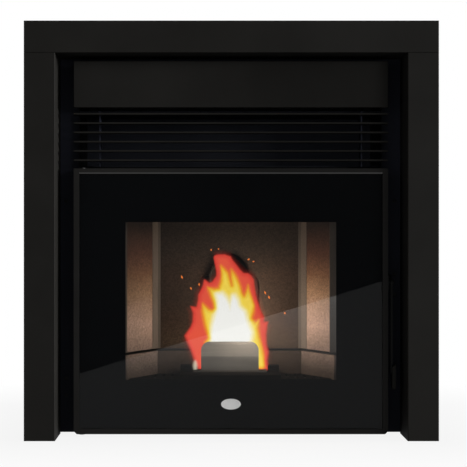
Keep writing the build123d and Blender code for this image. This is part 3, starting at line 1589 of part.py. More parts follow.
gasket_middle = (gasket_bottom + gasket_top) / 2
gasket_length = gasket_top - gasket_bottom
with BuildPart() as door_inner_frame:
    with BuildSketch(facing(inner_frame_y)):
        with Locations((0, door_centre)):
            Rectangle(rebate_width - 2 * glass_gap, rebate_height - 2 * glass_gap)
        with Locations((0, window_centre)):
            Rectangle(
                window_width + 2 * inner_frame_reveal,
                window_height + 2 * inner_frame_reveal,
                mode=Mode.SUBTRACT,
            )
    extrude(amount=-inner_frame_sheet)
    with BuildSketch(facing(inner_frame_back)):
        with Locations((0, gasket_middle)):
            RectangleRounded(
                2 * gasket_half + gasket_channel,
                gasket_length + gasket_channel,
                gasket_corner + gasket_channel / 2,
            )
            RectangleRounded(
                2 * gasket_half - gasket_channel,
                gasket_length - gasket_channel,
                gasket_corner - gasket_channel / 2,
                mode=Mode.SUBTRACT,
            )
    extrude(amount=-(gasket_y - gasket_seat - inner_frame_back))
    groove = gasket_radius + seat_gap
    with BuildSketch(facing(gasket_y - gasket_seat)):
        with Locations((0, gasket_middle)):
            RectangleRounded(2 * (gasket_half + groove), gasket_length + 2 * groove, gasket_corner + groove)
            RectangleRounded(
                2 * (gasket_half - groove),
                gasket_length - 2 * groove,
                gasket_corner - groove,
                mode=Mode.SUBTRACT,
            )
    extrude(amount=groove - gasket_seat, mode=Mode.SUBTRACT)
pieces["door_inner_frame"] = door_inner_frame

with BuildSketch(facing(gasket_y)) as gasket_line:
    with Locations((0, gasket_middle)):
        RectangleRounded(2 * gasket_half, gasket_length, gasket_corner)
gasket_path = gasket_line.sketch.faces()[0].outer_wire()
with BuildPart() as door_gasket:
    with BuildSketch(Plane(origin=gasket_path @ 0, z_dir=gasket_path % 0)):
        Circle(gasket_radius)
    sweep(path=gasket_path)
pieces["door_gasket"] = door_gasket

with BuildPart() as glass_clamps:
    clamp_y = (inner_frame_back, inner_frame_back + clamp_thickness)
    clamp_half = clamp_length / 2
    rebate_top = door_top - door_wall
    for sign in sides.values():
        edge = sign * (door_half - door_wall)
        across_edge = sorted((edge, edge - sign * clamp_reach))
        for z in (door_centre - clamp_spacing, door_centre, door_centre + clamp_spacing):
            block(across_edge, clamp_y, (z - clamp_half, z + clamp_half))
        clamp_x = sign * clamp_spacing
        block(
            (clamp_x - clamp_half, clamp_x + clamp_half), clamp_y, (rebate_top - clamp_reach, rebate_top)
        )
    chamfer(glass_clamps.edges().filter_by(Axis.Y), clamp_edge)
pieces["glass_clamps"] = glass_clamps

with BuildPart() as badge:
    with BuildSketch(facing(glass_y)):
        with Locations((0, badge_height)):
            Ellipse(badge_length / 2, badge_width / 2)
    extrude(amount=badge_thickness)
    fillet(badge.faces().sort_by(Axis.Y)[0].edges(), badge_edge)
    with BuildSketch(facing(glass_y - badge_thickness)):
        with Locations((0, badge_height)):
            Ellipse(badge_length / 2 - badge_rim, badge_width / 2 - badge_rim)
    extrude(amount=-badge_recess, mode=Mode.SUBTRACT)
pieces["badge"] = badge

with BuildPart() as hinge_blocks:
    for low, high in pivot_z.values():
        with BuildSketch(lying(low)):
            block_left = -door_half + door_wall
            with Locations((block_left + pivot_block / 2, pivot_y)):
                Rectangle(pivot_block, pivot_block)
            with Locations((pivot_x, pivot_y)):
                Circle(pivot_radius + pivot_clearance, mode=Mode.SUBTRACT)
        extrude(amount=high - low)
pieces["hinge_blocks"] = hinge_blocks

# plates above and below the door's left corner, each with its pin and a flange on the front frame
with BuildPart() as hinge_brackets:
    plate_low = door_bottom - pivot_plate_gap - pivot_plate
    plate_high = door_top + pivot_plate_gap
    for low, flange, pin in (
        (
            plate_low,
            (plate_low, plate_low + pivot_flange_height),
            (plate_low, pivot_z["bottom"][1] - pivot_pin_end),
        ),
        (
            plate_high,
            (plate_high + pivot_plate - pivot_flange_height, plate_high + pivot_plate),
            (pivot_z["top"][0] + pivot_pin_end, plate_high + pivot_plate),
        ),
    ):
        with BuildSketch(lying(low)):
            with Locations((pivot_x, pivot_y)):
                Circle(pivot_plate_width / 2)
            with Locations((pivot_x, (pivot_y + casing_front) / 2)):
                Rectangle(pivot_plate_width, casing_front - pivot_y)
        extrude(amount=pivot_plate)
        flange_x = pivot_x + pivot_flange_shift
        block(
            (flange_x - pivot_flange_width / 2, flange_x + pivot_flange_width / 2),
            (casing_front - pivot_flange_sheet, casing_front),
            flange,
        )
        with BuildSketch(lying(pin[0])):
            with Locations((pivot_x, pivot_y)):
                Circle(pivot_radius)
        extrude(amount=pin[1] - pin[0])
pieces["hinge_brackets"] = hinge_brackets

with BuildPart() as latch_bracket:
    with BuildSketch(across(door_half)):
        with Locations((latch_y + latch_plate_shift, latch_height)):
            RectangleRounded(latch_plate_depth, latch_plate_height, latch_head_radius)
    extrude(amount=latch_plate_sheet)
    head_x = latch_x + latch_bar_width + latch_play
    for radius, start, end in (
        (latch_head_radius, door_half, latch_x - latch_play),
        (latch_pin_radius, door_half, head_x),
        (latch_head_radius, head_x, head_x + latch_head),
    ):
        with BuildSketch(across(start)):
            with Locations((latch_y, latch_height)):
                Circle(radius)
        extrude(amount=end - start)
pieces["latch_bracket"] = latch_bracket

with BuildPart() as latch_lever:
    with BuildSketch(across(latch_x)):
        with Locations((latch_y, latch_height)):
            Circle(latch_eye_radius)
        with Locations((latch_y, (grip_top + latch_height) / 2)):
            Rectangle(latch_bar_depth, latch_height - grip_top)
        with BuildLine():
            Polyline(
                (latch_y, latch_height + latch_nose_root),
                (latch_y + latch_nose, nose_top),
                (latch_y + latch_nose, latch_height),
                (latch_y, latch_height - latch_nose_root),
                close=True,
            )
        make_face()
        with Locations((latch_y, latch_height)):
            Circle(latch_pin_radius + shaft_clearance, mode=Mode.SUBTRACT)
    extrude(amount=latch_bar_width)
    with BuildSketch(across(latch_x)):
        with Locations((latch_y, grip_top - latch_tongue / 2)):
            Rectangle(latch_bar_depth, latch_tongue)
    extrude(amount=latch_bar_width - latch_lap)
pieces["latch_lever"] = latch_lever

grip_left = keeper_x - latch_lap
with BuildPart() as latch_grip:
    with BuildSketch(facing(latch_y - grip_depth / 2 - grip_shift)) as grip_face:
        with BuildLine():
            Polyline(
                (grip_left, grip_bottom),
                (grip_left + grip_width, grip_bottom),
                (grip_left + grip_width, grip_top - grip_edge),
                (grip_left, grip_top - grip_edge - grip_slant),
                close=True,
            )
        make_face()
        fillet(grip_face.vertices().group_by(Axis.Y)[0], grip_round)
    extrude(amount=-grip_depth)
    fillet(latch_grip.faces().sort_by(Axis.Y)[0].edges(), grip_edge)
pieces["latch_grip"] = latch_grip

# ---------------------------------------------------------------- grille
slat_room = drawer_front_bottom - door_top - slat_first_gap - slat_last_gap
slat_count = int(slat_room / slat_pitch) + 1
slat_heights = [door_top + slat_first_gap + number * slat_pitch for number in range(slat_count)]
with BuildPart() as grille_slats:
    with BuildSketch(facing(slat_y)):
        for height in slat_heights:
            with Locations((0, height)):
                Rectangle(door_width, slat_thickness)
    extrude(amount=-slat_depth)
    fillet(grille_slats.faces().group_by(Axis.Y)[0].edges().filter_by(Axis.X), slat_edge)
pieces["grille_slats"] = grille_slats

comb_front = slat_y + slat_depth - comb_bite
comb_rear = casing_front + comb_root
with BuildPart() as grille_combs:
    for sign in sides.values():
        with BuildSketch(across(sign * (door_half - comb_inset))):
            with Locations(((comb_front + comb_rear) / 2, (front_frame_top + hopper_top) / 2)):
                Rectangle(comb_rear - comb_front, hopper_top - front_frame_top)
            for height in slat_heights:
                with Locations((comb_front + comb_bite / 2, height)):
                    Rectangle(comb_bite, slat_thickness, mode=Mode.SUBTRACT)
        extrude(amount=comb_thickness / 2, both=True)
pieces["grille_combs"] = grille_combs

# ---------------------------------------------------------------- pellet drawer
drawer_front_top = drawer_front_bottom + drawer_front_height
with BuildPart() as drawer_front:
    with BuildSketch(facing(door_y)):
        with Locations((0, (drawer_front_bottom + drawer_front_top) / 2)):
            Rectangle(door_width, drawer_front_height)
    extrude(amount=-drawer_front_depth)
    offset(amount=-casing_sheet, openings=drawer_front.faces().sort_by(Axis.Y)[-1])
    fillet(drawer_front.faces().sort_by(Axis.Y)[0].edges(), door_edge)
pieces["drawer_front"] = drawer_front

drawer_y = door_y + casing_sheet
drawer_rear = hopper_rear - drawer_rear_gap
drawer_width = 2 * (casing_inner - drawer_side_room)
drawer_bottom = shelf_height + drawer_lift
runner_rib_height = drawer_bottom + runner_rib_lift
with BuildPart() as pellet_drawer:
    with BuildSketch(lying(drawer_bottom)):
        with Locations((0, (drawer_y + drawer_rear) / 2)):
            Rectangle(drawer_width, drawer_rear - drawer_y)
    extrude(amount=drawer_height)
    offset(amount=-drawer_sheet, openings=pellet_drawer.faces().sort_by(Axis.Z)[-1])
    block(
        (-drawer_width / 2 + drawer_sheet, drawer_width / 2 - drawer_sheet),
        (hopper_front, drawer_rear - drawer_sheet),
        (drawer_bottom, drawer_bottom + drawer_sheet),
        Mode.SUBTRACT,
    )
    for sign in sides.values():
        rib_x = sorted((sign * drawer_width / 2, sign * (drawer_width / 2 + runner_rib)))
        rib_z = (
            runner_rib_height - runner_rib_thickness / 2,
            runner_rib_height + runner_rib_thickness / 2,
        )
        block(rib_x, (casing_front - runner_rib_lead, drawer_rear), rib_z)
pieces["pellet_drawer"] = pellet_drawer

with BuildPart() as drawer_runners:
    for sign in sides.values():
        inner = drawer_width / 2 + seat_gap
        with BuildSketch(facing(casing_front + runner_end_gap)):
            with Locations((sign * (inner + runner_width / 2), shelf_height + runner_height / 2)):
                Rectangle(runner_width, runner_height)
            groove_width = runner_rib + seat_gap
            with Locations((sign * (inner + groove_width / 2), runner_rib_height)):
                Rectangle(groove_width, runner_rib_thickness + 2 * seat_gap, mode=Mode.SUBTRACT)
        extrude(amount=-(panel_inner - casing_front - 2 * runner_end_gap))
pieces["drawer_runners"] = drawer_runners

# ---------------------------------------------------------------- write
os.makedirs("parts", exist_ok=True)
for name, piece in pieces.items():
    piece.part.label = name
    export_step(piece.part, f"parts/{name}.step")
    print(name, len(piece.part.solids()), round(piece.part.volume / 1000, 1))
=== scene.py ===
import math

import bpy
import numpy as np
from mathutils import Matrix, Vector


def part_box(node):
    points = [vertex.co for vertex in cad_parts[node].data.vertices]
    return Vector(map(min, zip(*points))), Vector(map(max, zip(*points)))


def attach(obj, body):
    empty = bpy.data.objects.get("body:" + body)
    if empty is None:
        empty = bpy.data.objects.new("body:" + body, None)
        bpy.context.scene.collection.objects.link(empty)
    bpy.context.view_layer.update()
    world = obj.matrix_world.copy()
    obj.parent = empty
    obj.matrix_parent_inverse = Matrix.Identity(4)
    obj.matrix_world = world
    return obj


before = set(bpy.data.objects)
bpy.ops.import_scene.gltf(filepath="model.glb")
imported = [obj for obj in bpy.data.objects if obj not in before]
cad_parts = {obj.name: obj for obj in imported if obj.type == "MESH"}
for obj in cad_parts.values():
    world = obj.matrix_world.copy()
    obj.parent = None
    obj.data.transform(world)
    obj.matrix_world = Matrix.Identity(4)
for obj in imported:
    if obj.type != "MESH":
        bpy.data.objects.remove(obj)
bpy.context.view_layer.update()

MM = 0.001
scene = bpy.context.scene
scene.view_settings.view_transform = "Standard"

# clear window of the pane
WINDOW_HALF_WIDTH = 235 * MM
WINDOW_BOTTOM = 127.5 * MM
WINDOW_TOP = 479.5 * MM
# heights of the soot between the liners' lower and upper boards, and of the fold in the pot's plate,
# below which the plate has painted shade
LINER_SEAM = 180 * MM
SHIELD_FOLD = 171 * MM

WHITE = (1.0, 1.0, 1.0, 1.0)
BLACK = (0.0, 0.0, 0.0, 1.0)


def srgb(red, green, blue):
    """Display colour, 0 to 255 a channel, as the linear colour that a shader takes."""

    def linear(value):
        value /= 255
        return value / 12.92 if value <= 0.04045 else ((value + 0.055) / 1.055) ** 2.4

    return (linear(red), linear(green), linear(blue), 1.0)


# ---------------------------------------------------------------- shader helpers
class Shader:
    """Node tree of a material or a world in the making."""

    def __init__(self, name, tree=None):
        if tree is None:
            self.material = bpy.data.materials.new(name)
            self.material.use_nodes = True
            tree = self.material.node_tree
        self.tree = tree
        tree.nodes.clear()

    def node(self, kind, inputs=None, **settings):
        """Add a node with its settings, and with its inputs set or linked."""
        node = self.tree.nodes.new(kind)
        for key, value in settings.items():
            setattr(node, key, value)
        for key, value in (inputs or {}).items():
            if isinstance(value, bpy.types.NodeSocket):
                self.tree.links.new(value, node.inputs[key])
            else:
                node.inputs[key].default_value = value
        return node

    def math(self, operation, first, second=0.0):
        return self.node("ShaderNodeMath", {0: first, 1: second}, operation=operation).outputs[0]

    def spread(self, value, low, high, start=0.0, end=1.0):
        """Value taken from low..high to start..end, and held there outside it."""
        return self.node(
            "ShaderNodeMapRange",
            {"Value": value, "From Min": low, "From Max": high, "To Min": start, "To Max": end},
        ).outputs[0]

    def weigh(self, first, second, share):
        """Sum of a share of the first value and the rest of the second."""
        return self.math(
            "ADD", self.math("MULTIPLY", first, share), self.math("MULTIPLY", second, 1 - share)
        )

    def swing(self, value, size):
        """Value of 0 to 1 as a swing of a size about zero."""
        return self.math("MULTIPLY", self.math("SUBTRACT", value, 0.5), size)

    def blend(self, factor, first, second, mode="MIX"):
        """Colour between first and second, or another mode of theirs."""
        node = self.node(
            "ShaderNodeMix", {0: factor, 6: first, 7: second}, data_type="RGBA", blend_type=mode
        )
        return node.outputs[2]

    def ramp(self, value, stops):
        """Colour of a value by stops, each a level and its colour."""
        node = self.node("ShaderNodeValToRGB", {0: value})
        elements = node.color_ramp.elements
        for number, (level, colour) in enumerate(stops):
            element = elements[number] if number < 2 else elements.new(level)
            element.position = level
            element.color = colour
        return node.outputs[0]

    def place(self):
        return self.node("ShaderNodeTexCoord").outputs["Object"]

    def along(self, axis):
        """Place along one axis, in metres."""
        return self.node("ShaderNodeSeparateXYZ", {"Vector": self.place()}).outputs[axis]

    def ray(self, kind):
        """1 for rays of a kind, 0 for the others."""
        return self.node("ShaderNodeLightPath").outputs[f"Is {kind} Ray"]

    def noise(self, scale, detail=3.0, roughness=0.55, stretch=None):
        vector = self.place()
        if stretch:
            vector = self.node("ShaderNodeMapping", {"Vector": vector, "Scale": stretch}).outputs[0]
        return self.node(
            "ShaderNodeTexNoise",
            {"Vector": vector, "Scale": scale, "Detail": detail, "Roughness": roughness},
        ).outputs["Fac"]

    def cells(self, scale):
        """Crystals or flakes, each of one grey."""
        colour = self.node(
            "ShaderNodeTexVoronoi", {"Vector": self.place(), "Scale": scale, "Randomness": 1.0}
        ).outputs["Color"]
        return self.node("ShaderNodeSeparateColor", {"Color": colour}).outputs[0]

    def bump(self, height, strength, distance):
        inputs = {"Height": height, "Strength": strength, "Distance": distance}
        return self.node("ShaderNodeBump", inputs).outputs[0]

    def shine(self, strength, kind="ShaderNodeEmission"):
        """White light of a strength."""
        return self.node(kind, {"Color": WHITE, "Strength": strength}).outputs[0]

    def mix(self, factor, first, second):
        """Surface between first and second."""
        return self.node("ShaderNodeMixShader", {0: factor, 1: first, 2: second}).outputs[0]

    def output(self, surface):
        """Give the material its surface."""
        self.node("ShaderNodeOutputMaterial", {"Surface": surface})
        return self.material

    def principled(self, **inputs):
        named = {key.replace("_", " "): value for key, value in inputs.items()}
        return self.output(self.node("ShaderNodeBsdfPrincipled", named).outputs[0])


# nearly all of a noise lies within the first of these, and most of it within the second
NOISE_REACH = (0.3, 0.7)
NOISE_MIDDLE = (0.35, 0.65)
# how deep a bump is
FAINT_RELIEF = 0.1 * MM
FINE_RELIEF = 0.2 * MM
COARSE_RELIEF = 0.6 * MM
# upward part of a face's normal, where the face looks down and where it no longer does
LOOKS_DOWN = -0.3
LOOKS_LEVEL = -0.2


def powder_coat(name, dark, light, roughness, gloss=0.22, edge=None):
    """Fine satin powder coat with slight unevenness.

    Where edge is given, it is the roughness and the gloss of the bevels that face down.
    """
    s = Shader(name)
    cloud = s.noise(9.0, detail=4.0)
    fine = s.noise(1400.0, detail=2.0)
    rough = s.spread(cloud, *NOISE_REACH, roughness - 0.04, roughness + 0.04)
    if edge:
        normal = s.node("ShaderNodeNewGeometry").outputs["True Normal"]
        upward = s.node("ShaderNodeSeparateXYZ", {"Vector": normal}).outputs["Z"]
        edge_roughness, edge_gloss = edge
        rough = s.spread(upward, LOOKS_DOWN, LOOKS_LEVEL, edge_roughness, rough)
        gloss = s.spread(upward, LOOKS_DOWN, LOOKS_LEVEL, edge_gloss, gloss)
    return s.principled(
        Base_Color=s.blend(s.spread(s.weigh(cloud, fine, 0.5), *NOISE_MIDDLE), dark, light),
        Roughness=rough,
        Normal=s.bump(fine, 0.25, FINE_RELIEF),
        Specular_IOR_Level=gloss,
    )


def sheet_steel(name, dark, light, roughness, spangle):
    """Zinc-coated sheet: soft crystal spangle over a rolled grain."""
    s = Shader(name)
    shade = s.cells(spangle)
    fine = s.noise(600.0, detail=2.0)
    return s.principled(
        Base_Color=s.blend(s.weigh(shade, fine, 0.6), dark, light),
        Metallic=0.9,
        Roughness=s.spread(shade, 0.0, 1.0, roughness - 0.06, roughness + 0.06),
        Normal=s.bump(fine, 0.15, FINE_RELIEF),
    )


def brushed_steel(name, dark, light, roughness, stretch=(0.05, 1, 1), metallic=0.55, fold=None):
    """Stainless sheet with a brushed grain, a little clouded by heat.

    Where fold is given, it is the height of a fold below which the sheet has painted shade, where it
    faces the fire's light less.
    """
    s = Shader(name)
    grain = s.noise(90.0, detail=5.0, roughness=0.7, stretch=stretch)
    cloud = s.noise(14.0)
    colour = s.blend(s.spread(s.weigh(grain, cloud, 0.6), *NOISE_REACH), dark, light)
    if fold:
        # painted shade: the sheet is darkened below the fold, where it faces the fire's light less
        height = s.along("Z")
        painted_shade_depth = 35 * MM
        blur = 0.6 * MM
        painted_shade_below_fold = s.spread(height, fold - painted_shade_depth, fold, 0.66, 0.84)
        painted_shade_level = s.spread(height, fold - blur, fold + blur, painted_shade_below_fold, 1.0)
        colour = s.blend(painted_shade_level, BLACK, colour)
    return s.principled(
        Base_Color=colour,
        Metallic=metallic,
        Roughness=s.spread(grain, *NOISE_REACH, roughness - 0.05, roughness + 0.08),
        Normal=s.bump(grain, 0.2, FINE_RELIEF),
    )


def cast_iron(name, dark, light):
    """Dull dark casting."""
    s = Shader(name)
    coarse = s.noise(60.0, detail=5.0, roughness=0.65)
    fine = s.noise(900.0)
    return s.principled(
        Base_Color=s.blend(s.spread(coarse, 0.35, 0.7), dark, light),
        Roughness=s.spread(coarse, *NOISE_REACH, 0.85, 0.97),
        Specular_IOR_Level=0.05,
        Normal=s.bump(s.math("ADD", fine, coarse), 0.5, COARSE_RELIEF),
    )


def vermiculite(name, fire_light_tints):
    """Pressed vermiculite board, packed mica flakes, with soot in the joint between its courses.

    The colours by height in metres are painted light of the fire, brightest level with the flames and
    falling off above and below them; the dark top is partly soot as well.
    """
    s = Shader(name)
    flakes = s.weigh(s.cells(330.0), s.noise(420.0, roughness=0.7), 0.4)
    height = s.along("Z")
    ragged_height = s.math("ADD", height, s.swing(s.noise(16.0, detail=4.0), 30 * MM))
    foot = fire_light_tints[0][0]
    top = fire_light_tints[-1][0]
    stops = [((level - foot) / (top - foot), colour) for level, colour in fire_light_tints]
    # painted fire light: the colour by height stands in for the fire's light falling off above and below
    # the flames
    fire_light_tint = s.ramp(s.spread(ragged_height, foot, top), stops)
    grain = s.spread(flakes, 0.2, 0.8, 0.66, 1.34)
    grey = s.node("ShaderNodeCombineColor", {0: grain, 1: grain, 2: grain}).outputs[0]
    board = s.blend(1.0, fire_light_tint, grey, "MULTIPLY")
    from_joint = s.math("ABSOLUTE", s.math("SUBTRACT", height, LINER_SEAM))
    dark_tone = s.spread(from_joint, 1.0 * MM, 2.6 * MM, 0.92, 0.0)
    return s.principled(
        Base_Color=s.blend(dark_tone, board, srgb(8, 7, 6)),
        Roughness=0.95,
        Specular_IOR_Level=0.15,
        Normal=s.bump(flakes, 0.5, COARSE_RELIEF),
    )


def ceramic_glass(name):
    """Clear glass pane: straight-through view with a weak mirror of the room.

    The mirror grows stronger up the clear window, and is weak over the enamelled border.
    """
    s = Shader(name)
    height = s.along("Z")
    between_sides = s.math("LESS_THAN", s.math("ABSOLUTE", s.along("X")), WINDOW_HALF_WIDTH)
    above_bottom = s.math("GREATER_THAN", height, WINDOW_BOTTOM)
    below_top = s.math("LESS_THAN", height, WINDOW_TOP)
    inside = s.math("MULTIPLY", between_sides, s.math("MULTIPLY", above_bottom, below_top))
    border_mirror = 0.0126
    window_mirror = s.spread(height, 140 * MM, 310 * MM, 0.015, 0.090)
    mirror = s.spread(inside, 0.0, 1.0, border_mirror, window_mirror)
    clear = s.node("ShaderNodeBsdfTransparent", {"Color": (0.96, 0.96, 0.95, 1.0)}).outputs[0]
    gloss = s.node("ShaderNodeBsdfGlossy", {"Color": WHITE, "Roughness": 0.0}).outputs[0]
    return s.output(s.mix(mirror, clear, gloss))


def painted_light_chute(name, painted_light, dark_tone):
    """Chute sheet, with painted light on its left side, where the fire's light reaches into the tube,
    and nearly black on its right.
    """
    s = Shader(name)
    # painted light: pale on the left, going over to near black on the right
    across = s.math("ADD", s.along("X"), s.swing(s.noise(30.0), 12 * MM))
    painted_light_ends = -30 * MM
    dark_starts = -12 * MM
    return s.principled(
        Base_Color=s.blend(s.spread(across, painted_light_ends, dark_starts), painted_light, dark_tone),
        Roughness=0.9,
        Specular_IOR_Level=0.1,
    )


def woven_rope(name, dark, light):
    """Twisted glass-fibre rope."""
    s = Shader(name)
    strands = s.node(
        "ShaderNodeTexWave",
        {"Vector": s.place(), "Scale": 120.0, "Distortion": 1.5, "Detail": 2.0},
        bands_direction="DIAGONAL",
    ).outputs["Fac"]
    return s.principled(
        Base_Color=s.blend(strands, dark, light),
        Roughness=0.95,
        Normal=s.bump(strands, 0.8, 1.0 * MM),
    )


def lighter(colour, times):
    """Colour times a number."""
    return tuple(value * times for value in colour[:3]) + (1.0,)


def moulded_plastic(name, colour):
    """Satin moulding with a fine grain."""
    s = Shader(name)
    fine = s.noise(1800.0, detail=2.0)
    return s.principled(
        Base_Color=s.blend(fine, colour, lighter(colour, 1.5)),
        Roughness=0.45,
        Normal=s.bump(fine, 0.2, FAINT_RELIEF),
    )


def enamel(name, colour):
    """Black enamel fired on the back of the glass."""
    s = Shader(name)
    return s.principled(
        Base_Color=s.blend(s.noise(40.0), colour, lighter(colour, 1.25)),
        Roughness=0.25,
        Specular_IOR_Level=0.0,
        Normal=s.bump(s.noise(300.0), 0.02, FAINT_RELIEF),
    )


# ---------------------------------------------------------------- materials
charcoal = powder_coat("charcoal_coat", srgb(24, 23, 21), srgb(30, 29, 27), roughness=0.66, gloss=0.12)
door_coat = powder_coat(
    "door_coat", srgb(26, 25, 24), srgb(32, 31, 30), roughness=0.62, gloss=0.12, edge=(0.24, 1.0)
)
recess_coat = powder_coat("recess_coat", srgb(29, 31, 40), srgb(37, 39, 49), roughness=0.6, gloss=0.12)
black = powder_coat("black_coat", srgb(9, 9, 10), srgb(13, 13, 14), roughness=0.58)
duct_black = powder_coat("duct_black", srgb(38, 40, 48), srgb(48, 50, 58), roughness=0.8)
firebox_black = powder_coat("stove_black", srgb(30, 26, 22), srgb(44, 38, 33), roughness=0.75)
band_coat = powder_coat("band_coat", srgb(84, 75, 68), srgb(108, 97, 88), roughness=0.7)
galvanised = sheet_steel(
    "galvanised_sheet", srgb(132, 135, 138), srgb(160, 163, 165), roughness=0.46, spangle=75.0
)
zinc = sheet_steel("zinc_plate", srgb(134, 135, 136), srgb(168, 169, 170), roughness=0.36, spangle=200.0)
# the shield's plate has painted shade below its fold
steel = brushed_steel(
    "heat_dulled_steel_with_painted_shade", srgb(130, 126, 121), srgb(160, 156, 151), roughness=0.48, fold=SHIELD_FOLD
)
pot_steel = brushed_steel("pot_steel", srgb(70, 64, 59), srgb(104, 97, 90), roughness=0.55)
iron = cast_iron("cast_iron", srgb(8, 7, 7), srgb(19, 17, 15))
# both boards have the fire's light painted into their colours by height
side_board = vermiculite(
    "side_vermiculite",
    [
        (0.110, srgb(56, 48, 42)),
        (0.137, srgb(70, 60, 54)),
        (0.165, srgb(102, 88, 80)),
        (0.244, srgb(164, 137, 124)),
        (0.313, srgb(138, 110, 88)),
        (0.359, srgb(108, 79, 60)),
        (0.405, srgb(82, 56, 46)),
        (0.474, srgb(48, 39, 35)),
        (0.520, srgb(50, 44, 42)),
    ],
)
back_board = vermiculite(
    "back_vermiculite",
    [
        (0.110, srgb(50, 42, 37)),
        (0.203, srgb(68, 54, 42)),
        (0.250, srgb(58, 44, 35)),
        (0.301, srgb(54, 43, 36)),
        (0.357, srgb(60, 47, 39)),
        (0.414, srgb(56, 47, 41)),
        (0.520, srgb(52, 45, 40)),
    ],
)
# the chute's pale left side is painted light of the fire
chute_coat = painted_light_chute("painted_light_chute", srgb(62, 54, 48), srgb(6, 6, 6))
glass = ceramic_glass("ceramic_glass")
rope = woven_rope("rope_seal", srgb(92, 92, 90), srgb(138, 137, 133))
silver = brushed_steel(
    "badge_silver", srgb(228, 228, 227), srgb(244, 244, 242),
    roughness=0.38, stretch=(1, 1, 1), metallic=0.15,
)
motor_paint = powder_coat("motor_paint", srgb(58, 60, 62), srgb(72, 74, 76), roughness=0.45)
plastic = moulded_plastic("black_plastic", srgb(20, 20, 21))
screw_black = powder_coat("blackened_screw", srgb(22, 23, 24), srgb(34, 35, 36), roughness=0.40)
black_enamel = enamel("black_enamel", srgb(11, 12, 14))

FINISHES = {
    charcoal: "surround_lintel surround_left_leg surround_right_leg drawer_front latch_grip "
    "grille_slats",
    door_coat: "door_frame",
    recess_coat: "wall_plate grille_combs",
    black: "casing_cover front_frame hinge_brackets latch_bracket latch_lever drawer_runners",
    chute_coat: "pellet_chute",
    duct_black: "hot_air_box",
    firebox_black: "firebox_shell ash_pan back_cover_plate",
    band_coat: "liner_retainers",
    galvanised: "base_tray back_panel heat_exchanger smoke_duct smoke_fan_housing "
    "room_fan_housing hopper auger_tube pellet_drawer air_inlet control_box door_inner_frame",
    zinc: "surround_brackets levelling_feet smoke_impeller room_impeller auger_screw "
    "hinge_blocks glass_clamps",
    steel: "burn_pot_shield",
    pot_steel: "burn_pot igniter",
    iron: "burn_pot_seat ash_grates",
    side_board: "left_liner right_liner baffle",
    back_board: "back_liner",
    glass: "door_glass",
    rope: "door_gasket",
    silver: "badge",
    motor_paint: "auger_motor smoke_motor room_motor safety_thermostat",
    plastic: "power_inlet power_switch reset_button",
    screw_black: "wall_plate_screws",
}
for finish, names in FINISHES.items():
    for name in names.split():
        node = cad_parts[name]
        if not node.material_slots:
            node.data.materials.append(finish)
        for slot in node.material_slots:
            slot.material = finish


# ---------------------------------------------------------------- pieces
def add_mesh(name, verts, faces, material):
    mesh = bpy.data.meshes.new(name)
    mesh.from_pydata(verts, [], faces)
    mesh.update()
    mesh.materials.append(material)
    piece = bpy.data.objects.new(name, mesh)
    scene.collection.objects.link(piece)
    return piece


def rectangle(left, right, low, high):
    """Corners of a rectangle, anticlockwise from its left lower one."""
    return [(left, low), (right, low), (right, high), (left, high)]


def enamel_border():
    """Black enamel behind the pane, round the clear window, as far back as the door's inner frame."""
    skin = 0.02 * MM
    low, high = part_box("door_glass")
    front = high.y + skin
    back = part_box("door_inner_frame")[0].y - skin
    rim = rectangle(low.x, high.x, low.z, high.z)
    window = rectangle(-WINDOW_HALF_WIDTH, WINDOW_HALF_WIDTH, WINDOW_BOTTOM, WINDOW_TOP)
    verts = [(x, y, z) for y in (front, back) for ring in (rim, window) for x, z in ring]
    front_rim, front_window, back_rim, back_window = range(0, 16, 4)
    faces = []
    for corner in range(4):
        after = (corner + 1) % 4
        faces += [
            (front_rim + corner, front_rim + after, front_window + after, front_window + corner),
            (back_rim + after, back_rim + corner, back_window + corner, back_window + after),
            (front_rim + corner, back_rim + corner, back_rim + after, front_rim + after),
            (front_window + after, back_window + after, back_window + corner, front_window + corner),
        ]
    return add_mesh("glass_enamel_border", verts, faces, black_enamel)


border = enamel_border()
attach(border, "door")

# ---------------------------------------------------------------- flames over the burn pot
# everything in this part is in millimetres, and outlines are x and z:
# the whole flame, its yellow part and its white heart
RED_OUTLINE = [
    (-74, 133), (-79, 140), (-87, 159), (-94, 180), (-102, 198), (-109, 216), (-102, 226), (-94, 237),
    (-89, 249), (-88, 268), (-95, 287), (-79, 285), (-76, 298), (-75, 312), (-69, 323), (-64, 334),
    (-61, 350), (-55, 347), (-47, 341), (-42, 343), (-33, 355), (-33, 365), (-36, 382), (-39, 397),
    (-38, 403), (-32, 406), (-23, 407), (-11, 407), (-2, 404), (4, 402), (8, 394), (16, 384),
    (26, 371), (33, 364), (44, 363), (52, 357), (58, 347), (60, 331), (63, 313), (67, 298), (72, 284),
    (78, 269), (84, 258), (83, 251), (94, 250), (91, 238), (89, 219), (90, 196), (95, 178), (92, 159),
    (94, 133),
]
YELLOW_OUTLINE = [
    (-58, 201), (-49, 210), (-53, 222), (-58, 238), (-61, 254), (-64, 273), (-64, 291), (-57, 285),
    (-48, 277), (-40, 275), (-35, 280), (-37, 291), (-43, 305), (-48, 320), (-52, 331), (-45, 328),
    (-36, 325), (-26, 327), (-21, 342), (-20, 361), (-21, 378), (-13, 372), (-4, 362), (1, 346),
    (5, 333), (3, 352), (4, 370), (12, 360), (19, 346), (25, 331), (29, 317), (34, 309), (39, 321),
    (43, 334), (47, 319), (54, 302), (59, 287), (56, 271), (52, 256), (61, 247), (69, 252), (66, 233),
    (70, 212), (76, 191), (81, 168), (85, 133), (47, 133), (0, 159), (-51, 178),
]
